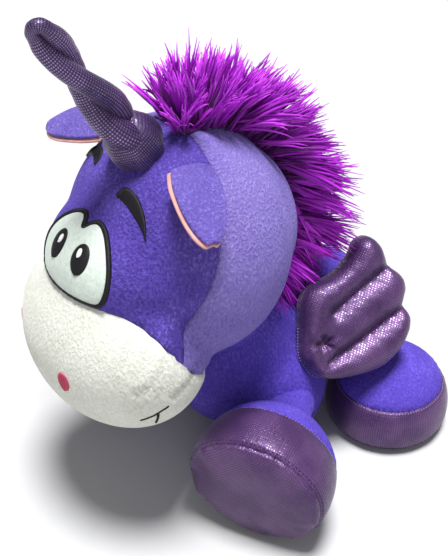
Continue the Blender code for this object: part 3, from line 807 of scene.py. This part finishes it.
rise = list(np.linspace(3, FOLD_HEIGHT, 46))
route = [tube_place(h, 80) for h in rise]
radii = [graph(TUBE_RADII, h) for h in rise]
top_angle = 80 - TWIST * 10
for turn in np.linspace(0, math.pi, 13)[1:-1]:
    offset = graph(TUBE_OFFSETS, FOLD_HEIGHT) * math.cos(turn)
    route.append(horn_place(FOLD_HEIGHT + 5.5 * math.sin(turn), offset, top_angle))
    radii.append(4.8 - 0.5 * math.sin(turn))
route += [tube_place(h, 260) for h in reversed(rise)]
radii += [graph(TUBE_RADII, h) for h in reversed(rise)]
horn_tube = tube("horn_tube", route, radii, sides=6)
horn_points = points_of(horn_tube)
crumple = np.sin(horn_points @ np.array((0.9, 0.5, 0.2)))
crumple *= np.sin(horn_points @ np.array((-0.3, 0.4, 0.75)))
set_points(horn_tube, horn_points + normals_of(horn_tube) * 0.35 * crumple[:, None])
apply(horn_tube, "SUBSURF", levels=1, render_levels=1)

turned = HORN_AXIS.to_track_quat("Z", "Y").to_matrix().to_4x4()
foot = ball((0, 0, 0), HORN_FOOT_HALF)
foot.data.transform(Matrix.Translation((HORN_ROOT + HORN_AXIS * 2) * MM) @ turned)
stuff(foot, 1.5, cell=2.5, steps=12)
foot_points = points_of(foot)
height = (foot_points - np.array(HORN_ROOT)) @ np.array(HORN_AXIS)
pleat = np.cos(7 * np.arctan2((foot_points - np.array(HORN_ROOT)) @ np.array(HORN_AXIS.cross(HORN_SIDE)),
                              foot_points[:, 0]))
set_points(foot, foot_points - normals_of(foot) * (0.7 * pleat * np.clip(1 - height / 24, 0, 1))[:, None])
knit_map(foot, HORN_ROOT, HORN_AXIS, HORN_FOOT_HALF[2])
horn = joined("horn_folded_tube", [horn_tube, foot])
dress(horn, horn_foil, "horn", ("horn_cover", "horn_stuffing"))


# --- Ears ---
# Two layers sewn round the edge and turned: plush outside and satin inside, not stuffed. The front edge
# curls up, so that a strip of the lining shows along it. The root is pinched and sewn into the ear seam.
EAR_LENGTH, EAR_HALF_WIDTH = 55, 16.0
EAR_LIFT = {"left": 0, "right": 8}              # degrees that each ear stands up from the left one's droop
EAR_TURN = {"left": 0, "right": 34}             # degrees that its front edge is turned down
EAR_ALONG = Vector((0.92, -0.24, -0.31)).normalized()
EAR_ACROSS = Vector((0.207, 0.967, -0.134)).normalized()


def mirror_of(obj, name):
    """The other side's piece, with its own mesh, turned right side out."""
    piece = copy_of(obj, name)
    set_points(piece, points_of(piece) * (-1, 1, 1))
    piece.data.flip_normals()
    return piece


def other_side(pieces):
    """The right-hand pieces for a dictionary of left-hand ones."""
    return {part: mirror_of(piece, piece.name.replace("left", "right")) for part, piece in pieces.items()}


def ear_layer(name, rise, thick, front, grow):
    """A layer of the left ear: a leaf, drooping to its tip, its front edge curled up."""
    obj, along, across = grid(name, 20, 16)
    along = along * 0.985
    swell = np.where(along < 0.3, 0.80 + 0.2 * np.sin(along / 0.3 * math.pi / 2),
                     (1 - ((along - 0.3) / 0.7).clip(0, 1) ** 2.2) ** 0.6)
    wide = (EAR_HALF_WIDTH + grow) * np.maximum(swell, 0.05)
    x = (EAR_LENGTH + grow) * along - 4
    y = across * wide - 5.5 - 8 * along - front * (across < 0) * np.abs(across) ** 3
    curl = np.clip(-across - 0.45, 0, 1) ** 2 * 11
    z = rise + 3.5 * (1 - across ** 2) * (1 - 0.4 * along) - 5.5 * along ** 2
    z += curl * np.sin(along.clip(0, 1) * math.pi)
    root = joint["ear_left_flap"]
    lay = np.outer(x, EAR_ALONG) + np.outer(y, EAR_ACROSS) + np.outer(z, EAR_ALONG.cross(EAR_ACROSS))
    set_points(obj, np.array(root) + lay)
    tidy_shell(obj, thick, offset=0.0, outward=EAR_ALONG.cross(EAR_ACROSS))
    apply(obj, "SUBSURF", levels=2, render_levels=2)
    return obj


def satin_cloth(name, colour, light):
    """Smooth woven lining, with a soft shine and a hint of its weave; painted light lightens the raised parts
    of its rumples.
    """
    made, start, feed = finish_of(name, {"Sheen Weight": 0.3, "Sheen Roughness": 0.3})
    place = start.object_place()
    weave = start.noise(place, 1300, 2)
    rumple_and_light = start.noise(place, 90, 3)
    # The raised parts of the rumples are painted lighter: painted light.
    feed("Base Color", rumple_and_light.between(0.3, 0.7).colours(colour, light))
    feed("Roughness", 0.42 + 0.2 * weave)
    height = weave * 0.4 + rumple_and_light
    feed("Normal", start.bump(height, 0.0006, 0.5))
    return made


# As for every plush, the first colour is painted shade and the last painted light.
ear_plush = plush("ear_plush", (0.060, 0.036, 0.230), (0.135, 0.095, 0.400), (0.260, 0.205, 0.600))
# The lining's second colour is painted light on its rumples.
peach_satin = satin_cloth("peach_satin", (0.48, 0.21, 0.19), (0.62, 0.34, 0.30))
left_ear = {"cover": ear_layer("ear_cover_left", 1.7, 3.0, 0, 0),
            "lining": ear_layer("ear_lining_left", -0.7, 2.0, 1.6, 0.4)}
for word, pieces in (("left", left_ear), ("right", other_side(left_ear))):
    hinge = joint[f"ear_{word}_flap"] * MM
    raised = Matrix.Rotation(math.radians(EAR_LIFT[word]), 4, EAR_ACROSS * Vector((-1, 1, 1)))
    raised @= Matrix.Rotation(math.radians(EAR_TURN[word]), 4, EAR_ALONG * Vector((1, -1, -1)))
    for piece in pieces.values():
        piece.data.transform(Matrix.Translation(hinge) @ raised @ Matrix.Translation(-hinge))
    dress(pieces["cover"], ear_plush, f"ear_{word}", (f"ear_{word}_cover",))
    dress(pieces["lining"], peach_satin, f"ear_{word}", (f"ear_{word}_lining",))


# --- Mane ---
# A strip of long acrylic fur runs down the back seam from behind the horn. Its fibres cling together in
# hundreds of pointed locks that stand up, fan out to both sides and droop a little at their tips.
MANE_FROM, MANE_TO = 8, 116                     # from straight up, over the back of the head
MANE_HALF_WIDTH = 13
LOCKS, STRANDS = 680, 7
LOCK_LENGTH = 47
LENGTH_SHARES = ((6, 0.9), (25, 1.0), (55, 1.12), (95, 1.15), (116, 0.8))
LEANS = ((8, -30), (18, -6), (30, 16), (60, 30), (95, 24), (120, 20))
chance = np.random.default_rng(7)


def over_head(angle, across=0.0):
    """A point on the cover over the middle line, by its angle from straight up towards the back."""
    turn = math.radians(angle)
    middle = HEAD + Vector((0, math.sin(turn), math.cos(turn))) * 100
    return on_face(middle + Vector((across, 0, 0)), 0.4)


def strand_model():
    """One strand, 1 long and 1 wide, tapering to a point."""
    select_only()
    bpy.ops.mesh.primitive_cone_add(vertices=4, radius1=1, radius2=0.1, depth=1, location=(0, 0, 0.5))
    bpy.ops.object.transform_apply(location=True, rotation=True, scale=True)
    obj = bpy.context.object
    for height in (0.16, 0.33, 0.5, 0.67, 0.84):
        edit(obj, (bpy.ops.mesh.bisect, {"plane_co": (0, 0, height), "plane_no": (0, 0, 1)}))
    vertices = points_of(obj) * MM
    height = vertices[:, 2]
    swell = (0.75 + 0.45 * np.sin(np.pi * height ** 0.8)) / (1 - 0.9 * height)
    vertices[:, :2] *= (swell * np.maximum(1 - height ** 6, 0.3))[:, None]
    faces = [tuple(face.vertices) for face in obj.data.polygons]
    bpy.data.objects.remove(obj)
    return vertices, faces


def note_values(obj, label, values):
    """A number for each vertex, which fur_finish() reads."""
    attribute = obj.data.attributes.new(label, "FLOAT", "POINT")
    attribute.data.foreach_set("value", np.asarray(values, np.float32))


def mesh_object(name, vertices, faces):
    """A new mesh, from its vertices in metres and its faces."""
    mesh = bpy.data.meshes.new(name)
    mesh.from_pydata(vertices.tolist(), [], faces)
    obj = bpy.data.objects.new(name, mesh)
    bpy.context.scene.collection.objects.link(obj)
    return obj


def repeated(faces, count, times):
    """The faces of a model with that many vertices, once for each of its copies."""
    return [tuple(i + k * count for i in face) for k in range(times) for face in faces]


def fur(name, strands):
    """One mesh of strands: each is the model bent from its root, by way of a point, to its tip."""
    roots, bends, tips, widths, tones = (np.array(column) for column in zip(*strands))
    model, model_faces = strand_model()
    z = model[:, 2][None, :, None]
    spine = (1 - z) ** 2 * roots[:, None] + 2 * z * (1 - z) * bends[:, None] + z ** 2 * tips[:, None]
    way = tips - roots
    side = np.cross(way, (0.31, 0.22, 0.92))
    side /= np.linalg.norm(side, axis=1, keepdims=True)
    up = np.cross(side, way)
    up /= np.linalg.norm(up, axis=1, keepdims=True)
    spread = model[None, :, :1] * side[:, None] + model[None, :, 1:2] * up[:, None]
    points = (spine + spread * widths[:, None, None]).reshape(-1, 3)
    obj = mesh_object(name, points * MM, repeated(model_faces, len(model), len(roots)))
    note_values(obj, "run", np.tile(model[:, 2], len(roots)))
    note_values(obj, "tone", np.repeat(tones, len(model)))
    edit(obj, (bpy.ops.mesh.normals_make_consistent, {"inside": False}))
    return obj


def fur_finish(name, root, middle, tip):
    """Glossy acrylic fibre: painted shade darkens it where the locks are packed at their roots, and painted
    light brightens it where their ends catch the light.
    """
    made, start, feed = finish_of(name, {
        "Sheen Weight": 0.08, "Sheen Roughness": 0.35, "Specular IOR Level": 0.25})
    run = start.add("Attribute", {"attribute_name": "run"}, out="Fac")
    tone = start.add("Attribute", {"attribute_name": "tone"}, out="Fac")
    place = start.object_place()
    fibre = start.noise(place, 1400, 2)
    # Low along a strand is painted shade at the root, high is painted light at the end; tone differs at random
    # from lock to lock.
    shade = run * 0.75 + (tone - 0.5) * 0.6 + (fibre - 0.5) * 0.25
    shaded_base = shade.between(0.0, 0.5).colours(root, middle)
    feed("Base Color", shade.between(0.45, 0.95).colours(shaded_base, tip))
    feed("Roughness", 0.42 + 0.2 * fibre)
    feed("Normal", start.bump(fibre, 0.0003, 0.6))
    return made


# The first colour is painted shade at the roots, the last painted light at the ends.
mane_fibre = fur_finish("mane_fibre", (0.080, 0.001, 0.115), (0.370, 0.010, 0.520), (0.620, 0.060, 0.800))
strip, along, across = grid("mane_strip", 40, 6)
set_points(strip, [over_head(MANE_FROM + (MANE_TO - MANE_FROM) * t, s * MANE_HALF_WIDTH)
                   for t, s in zip(along, across)])
tidy_shell(strip, 1.6, offset=1.0, outward=outward_at(strip))
# The backing takes the roots' dark colour: painted shade under the locks.
for label, value in (("run", 0.15), ("tone", 0.4)):
    note_values(strip, label, np.full(len(strip.data.vertices), value))
dress(strip, mane_fibre, "head", ("mane_backing",))

strands = []
for lock in range(LOCKS):
    angle = MANE_FROM + (MANE_TO - MANE_FROM) * ((lock + chance.uniform(0, 1)) / LOCKS) ** 0.8
    across = chance.uniform(-1, 1) * graph(((60, 1), (110, 1.35)), angle)
    root = over_head(angle, across * MANE_HALF_WIDTH)
    out = (root - HEAD).normalized()
    backward = (over_head(angle + 3) - over_head(angle - 3)).normalized()
    sideways = math.radians(across * (22 if across > 0 else 42) - 4 + chance.normal(0, 13))
    lean = math.radians(graph(LEANS, angle))
    lean += math.radians(chance.normal(0, 15))
    way = out * math.cos(sideways) * math.cos(lean) + Vector((1, 0, 0)) * math.sin(sideways)
    way = (way + backward * math.sin(lean)).normalized()
    length = LOCK_LENGTH * chance.uniform(0.72, 1.1) * graph(LENGTH_SHARES, angle)
    droop = Vector((0, 0, -1)) * length * (0.04 + 0.22 * abs(math.sin(sideways)))
    tip, tone = root + way * length + droop, chance.uniform(0.1, 0.9)
    for _ in range(STRANDS):
        strands.append((
            np.array(root) + chance.normal(0, 1.7, 3),
            np.array(root + way * length * 0.55) + chance.normal(0, 1.8, 3),
            np.array(tip) + chance.normal(0, 2.6, 3) + np.array(way) * chance.normal(0, 3.0),
            chance.uniform(0.65, 1.1), tone + chance.normal(0, 0.12),
        ))
half = len(strands) // 2
front_half = fur("mane_locks_front", strands[:half])
dress(front_half, mane_fibre, "head", ("mane_fur",))
back_half = fur("mane_locks_back", strands[half:])
dress(back_half, mane_fibre, "head")


# --- Body ---
# The trunk is one stuffed bag: two plush side panels that meet along the spine, and a belly panel let in
# between them. It lies on the floor, so its underside is pressed flat.
BODY = Vector((0, 40, 72))
BODY_BALLS = (                                  # offset from the middle of the body, half sizes
    ((0, -32, -6), (52.5, 60.5, 66.5)),         # chest
    ((0, 34, 2), (48.5, 58.5, 42.5)),           # rump
    ((36, -27, -26), (35, 40, 45)),             # shoulders
    ((-36, -27, -26), (35, 40, 45)),
)
SIDE_SEAM = 34                                  # height of the seam between the side and belly panels


def body_seams(points):
    spine = np.where(points[:, 2] > SIDE_SEAM, np.abs(points[:, 0]), NO_SEAM)
    return np.minimum(spine, np.abs(points[:, 2] - SIDE_SEAM))


body_cover = joined("body_cover", [ball(BODY + Vector(offset), half) for offset, half in BODY_BALLS])
stuff(body_cover, 3.0, held=lambda points: body_seams(points) < HELD_WIDTH)
score(body_cover, lambda p: p[:, 0], lambda p: p[:, 2] - SIDE_SEAM)
body_points = points_of(body_cover)
sew(body_cover, body_seams(body_points), depth=1.5)
body_points = points_of(body_cover)
body_points[:, 2] = np.maximum(body_points[:, 2], 0.2)
set_points(body_cover, body_points)
# As for every plush, the first colour is painted shade and the last painted light.
body_plush = plush("body_plush", (0.034, 0.017, 0.210), (0.084, 0.051, 0.400), (0.175, 0.125, 0.600),
                   640, 0.84, 0.0005)
for side, word in ((1, "left"), (-1, "right")):
    flank = panel(body_cover, f"body_cover_{word}", lambda c: (c[:, 2] > SIDE_SEAM) & (c[:, 0] * side > 0))
    nodes = (f"body_{word}_panel", "body_stuffing") if side > 0 else (f"body_{word}_panel",)
    dress(flank, body_plush, "body", nodes)
belly = panel(body_cover, "belly_cover", lambda c: c[:, 2] < SIDE_SEAM)
dress(belly, body_plush, "body", ("belly_panel",))
bpy.data.objects.remove(body_cover)


# --- Neck ---
# A short stuffed neck joins the head to the chest. It is sewn inside both, so only a fold of it shows.
neck = stuff(ball(joint["head_nod"] + Vector((0, -2, 0)), (38, 36, 38)), 2.0, steps=12)
neck.name = neck.data.name = "neck_gusset"
dress(neck, body_plush, "neck", ("neck_stuffing",))


# --- Legs ---
# Each leg is a stuffed round foot on a short root sewn to the trunk. Plush covers its top; a band of
# foil-dotted knit goes round the hoof, and a round sole is let in with a line of dark topstitching.
LEGS = (
    # word, joint, way the sole looks, half sizes of the foot, height of its middle, seam, root ball
    ("front", "front_left_leg_lift", Vector((0.43, -0.90, -0.07)).normalized(), (51.5, 48.5, 56.5), 18, 42, 19),
    ("hind", "hind_left_leg_swing", Vector((0, 0, -1)), (48.5, 48.5, 46.5), 17, 40, 20),
)
RING_STEPS = 120
SOLE_SEAM = 4.2                                 # how far the sole's edge is rolled up round the filling


def copies(name, model, places):
    """One mesh with a copy of a model at each matrix, in metres."""
    vertices, faces = model
    points = np.vstack([vertices @ np.array(m.to_3x3()).T + np.array(m.translation) for m in places])
    return mesh_object(name, points, repeated(faces, len(vertices), len(places)))


def stitch_row(name, line, length, thick, every, closed=True):
    """A row of stitches along a chain of points on a cover: small beads of thread, laid end to end."""
    bead = ball((0, 0, 0), (thick, thick, length / 2), 6, 4)
    model = (points_of(bead) * MM, [tuple(face.vertices) for face in bead.data.polygons])
    bpy.data.objects.remove(bead)
    line = [Vector(p) for p in line] + ([Vector(line[0])] if closed else [])
    reach = np.concatenate(([0], np.cumsum([(b - a).length for a, b in zip(line, line[1:])])))
    places = []
    for at in np.arange(every / 2, reach[-1] - every / 4, every):
        k = max(int(np.searchsorted(reach, at)) - 1, 0)
        step = line[k + 1] - line[k]
        turn = step.to_track_quat("Z", "Y").to_matrix().to_4x4()
        places.append(Matrix.Translation((line[k] + step * ((at - reach[k]) / step.length)) * MM) @ turn)
    return copies(name, model, places)


dark_stitch = thread("dark_stitch", (0.030, 0.012, 0.060))
pale_stitch = thread("pale_stitch", (0.420, 0.300, 0.620))
for word, joint_name, down, half, middle, seam, root in LEGS:
    low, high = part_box(f"{word}_left_leg_sole")
    sole_middle = (low + high) / 2 / MM
    sole_middle = sole_middle + down * 0.7
    hip = joint[joint_name]
    turned = (-down).to_track_quat("Z", "Y").to_matrix().to_4x4()
    drum = ball((0, 0, 0), half)
    drum.data.transform(Matrix.Translation((sole_middle - down * middle) * MM) @ turned)
    edit(drum, (bpy.ops.mesh.bisect, {"plane_co": sole_middle * MM, "plane_no": down, "clear_outer": True,
                                      "use_fill": True, "threshold": 1e-6}))
    waist = sole_middle - down * (middle + half[2] * 0.62)
    leg = joined(f"{word}_leg_form", [drum, ball(hip, (root, root, root)),
                                      ball((hip + waist) / 2, (root, root, root * 1.05))])

    def along_leg(points):
        return (points - np.array(sole_middle)) @ -np.array(down)

    stuff(leg, 3.0, held=lambda points: np.abs(along_leg(points) - seam) < HELD_WIDTH)
    score(leg, lambda p: along_leg(p) - seam, lambda p: along_leg(p) - SOLE_SEAM)
    leg_points = points_of(leg)
    reach = along_leg(leg_points)
    rim = leg_points[np.abs(reach - SOLE_SEAM) < 0.01] @ np.array(turned.to_3x3())
    rim_reach = np.linalg.norm(rim - rim.mean(axis=0), axis=1).max()
    out = (leg_points - np.array(sole_middle)) @ np.array(turned.to_3x3())[:, :2]
    inside = np.linalg.norm(out, axis=1) < rim_reach * 0.9
    seam_gap = np.minimum(np.abs(reach - seam), np.abs(reach - SOLE_SEAM))
    sew(leg, np.where(inside & (reach < SOLE_SEAM), NO_SEAM, seam_gap), depth=1.1, width=1.6, pucker=0.3)
    if word == "hind":
        lifted = points_of(leg)
        lifted[:, 2] = np.maximum(lifted[:, 2], 0.3)
        set_points(leg, lifted)
    pieces = {
        "cover": panel(leg, f"{word}_leg_cover_left", lambda c: along_leg(c) > seam),
        "hoof": panel(leg, f"{word}_hoof_band_left",
                      lambda c: (along_leg(c) < seam) & (along_leg(c) > SOLE_SEAM), 1.2),
        "sole": panel(leg, f"{word}_sole_left", lambda c: along_leg(c) < SOLE_SEAM, 1.2),
    }
    knit_map(pieces["hoof"], sole_middle, down, 48)
    knit_map(pieces["sole"], sole_middle, down)
    leg_skin = BVHTree.FromObject(leg, bpy.context.evaluated_depsgraph_get())
    rings = []
    for level in (SOLE_SEAM + 2.3, seam - 1.6):
        ring, centre = [], sole_middle - down * level
        for turn in (math.tau * step / RING_STEPS for step in range(RING_STEPS)):
            out = turned.to_3x3() @ Vector((math.cos(turn), math.sin(turn), 0))
            ring.append(centre + out * (leg_skin.ray_cast(centre * MM, out)[3] / MM))
        rings.append(ring)
    pieces["topstitch"] = stitch_row(f"{word}_sole_stitches_left", rings[0], 2.1, 0.42, 3.1)
    pieces["overlock"] = stitch_row(f"{word}_hoof_stitches_left", rings[1], 1.0, 0.34, 2.3)
    bpy.data.objects.remove(leg)
    for hand in ("left", "right"):
        body = f"{word}_{hand}_leg"
        if hand == "right":
            pieces = other_side(pieces)
        dress(pieces["cover"], body_plush, body, (f"{body}_cover", f"{body}_stuffing"))
        dress(pieces["hoof"], hoof_foil, body, (f"{body}_hoof",))
        dress(pieces["sole"], hoof_foil, body, (f"{body}_sole",))
        dress(pieces["topstitch"], dark_stitch, body)
        dress(pieces["overlock"], pale_stitch, body)


# --- Wings ---
# A wing is two layers of foil-dotted knit sewn round the edge, stuffed, and stitched through along two
# lines that part it into three plump feathers. One tack stitch near the root pulls a dimple into it.
WING_NORMAL = Vector((0.83, -0.30, 0.47)).normalized()
WING_ALONG = (Vector((0, 1, 0)) - WING_NORMAL * WING_NORMAL.y).normalized()
WING_ROOT = joint["wing_left_swing"] + WING_ALONG * 12
WING_LINE = ((-3, 2), (-9, -16), (-8, -26), (-3, -38), (13, -47), (41, -52), (58, -49), (75, -38),
             (83, -24), (80, -12), (86, -2), (86, 9), (78, 21), (77, 36), (70, 47), (59, 47), (50, 37),
             (34, 30), (13, 28), (3, 18))
WING_EDGE = [smooth_point(WING_LINE, step / 80, closed=True) for step in range(81)]
GROOVES = (((22, 3), (48, 12), (80, 21.5)), ((8, -30), (40, -23), (81, -12.5)))
TACK = (9, -14)
FEATHER_HALF_WIDTH, FEATHER_HEIGHT = 15, 15.5


def wing_lines(flat):
    """Distance of flat points from the nearest stitched line: the edge or a groove."""
    grooves = np.minimum(*(line_distance(flat, groove) for groove in GROOVES))
    return np.minimum(line_distance(flat, WING_EDGE), grooves)


def from_tack(flat):
    return np.hypot(flat[:, 0] - TACK[0], flat[:, 1] - TACK[1])


select_only()
bpy.ops.mesh.primitive_circle_add(vertices=80, radius=1, fill_type="NGON")
wing = bpy.context.object
set_points(wing, [(*place, -3.5) for place in WING_EDGE[:-1]])
edit(wing, (bpy.ops.mesh.extrude_region_move, {"TRANSFORM_OT_translate": {"value": (0, 0, 7 * MM)}}),
     (bpy.ops.mesh.select_all, {"action": "SELECT"}),
     (bpy.ops.mesh.normals_make_consistent, {"inside": False}))
apply(wing, "REMESH", mode="VOXEL", voxel_size=2.2 * MM)
flat = points_of(wing)
gap = np.clip(wing_lines(flat[:, :2]) / FEATHER_HALF_WIDTH, 0, 1)
plump = 0.9 + FEATHER_HEIGHT * np.sqrt(1 - (1 - gap) ** 2)
plump *= 1 - 0.8 * np.exp(-(from_tack(flat) / 5.5) ** 2)
flat[:, 2] = plump * np.clip(flat[:, 2] / 3.2, -1, 1)
set_points(wing, flat)
stuff(wing, 2.2, held=lambda points: wing_lines(points[:, :2]) < 1.6, cell=2.6, steps=14)
score(wing, lambda p: p[:, 2])
keep_points(wing, "rest", points_of(wing))
flat = points_of(wing)
crumple = np.sin(flat @ np.array((0.62, 0.28, 0))) * np.sin(flat @ np.array((-0.22, 0.5, 0)))
near = np.exp(-(from_tack(flat) / 17) ** 2)
ripple = 0.12 * crumple + 1.0 * near * np.sin(np.arctan2(flat[:, 1] - TACK[1], flat[:, 0] - TACK[0]) * 5)
grooved = np.exp(-(wing_lines(flat[:, :2]) / 1.5) ** 2)
set_points(wing, flat - normals_of(wing) * (ripple + 0.8 * grooved)[:, None])
laid = Matrix((WING_ALONG, WING_NORMAL.cross(WING_ALONG), WING_NORMAL)).transposed().to_4x4()
laid.translation = WING_ROOT * MM
sides = {}
for part, sign in (("outer", 1), ("inner", -1)):
    sides[part] = panel(wing, f"wing_{part}_left", lambda c: c[:, 2] * sign > 0, 0.8)
    knit_map(sides[part], (0, 0, 0), (0, 0, 1))
    sides[part].data.transform(laid)
bpy.data.objects.remove(wing)
root_edge = [laid @ (Vector((*smooth_point(WING_LINE, t), 0.8)) * MM) / MM
             for t in np.linspace(-0.09, 0.17, 26)]
sides["edge"] = stitch_row("wing_edge_stitches_left", root_edge, 1.1, 0.4, 2.2, closed=False)
for hand in ("left", "right"):
    if hand == "right":
        sides = other_side(sides)
    body = f"wing_{hand}"
    dress(sides["outer"], hoof_foil, body, (f"{body}_outer_panel", f"{body}_stuffing"))
    dress(sides["inner"], hoof_foil, body, (f"{body}_inner_panel",))
    dress(sides["edge"], pale_stitch, body)


# --- Tail ---
# A short tuft of the mane's fur, gathered and sewn into the spine seam over the rump. It hangs down
# behind.
TAIL_ROOT = joint["tail_swing"]
TAIL_LOCKS, TAIL_LENGTH = 64, 62
strands = []
for lock in range(TAIL_LOCKS):
    turn = chance.uniform(0, math.tau)
    out = Vector((math.cos(turn), 0.45 + 0.45 * math.sin(turn), 0)) * chance.uniform(0.2, 1)
    root = TAIL_ROOT + Vector((3.5 * out.x, -3 + 2 * out.y, chance.uniform(-8, 0)))
    length = TAIL_LENGTH * chance.uniform(0.75, 1.05)
    bend = root + Vector((7 * out.x, 10 + 10 * out.y, -0.25 * length))
    tip = root + Vector((15 * out.x, 5 + 10 * out.y, -length))
    tone = chance.uniform(0.1, 0.9)
    for _ in range(STRANDS):
        strands.append((
            np.array(root) + chance.normal(0, 1.2, 3), np.array(bend) + chance.normal(0, 1.6, 3),
            np.array(tip) + chance.normal(0, 2.6, 3),
            chance.uniform(0.65, 1.1), tone + chance.normal(0, 0.12),
        ))
tail = fur("tail_locks", strands)
dress(tail, mane_fibre, "tail", ("tail_fur",))
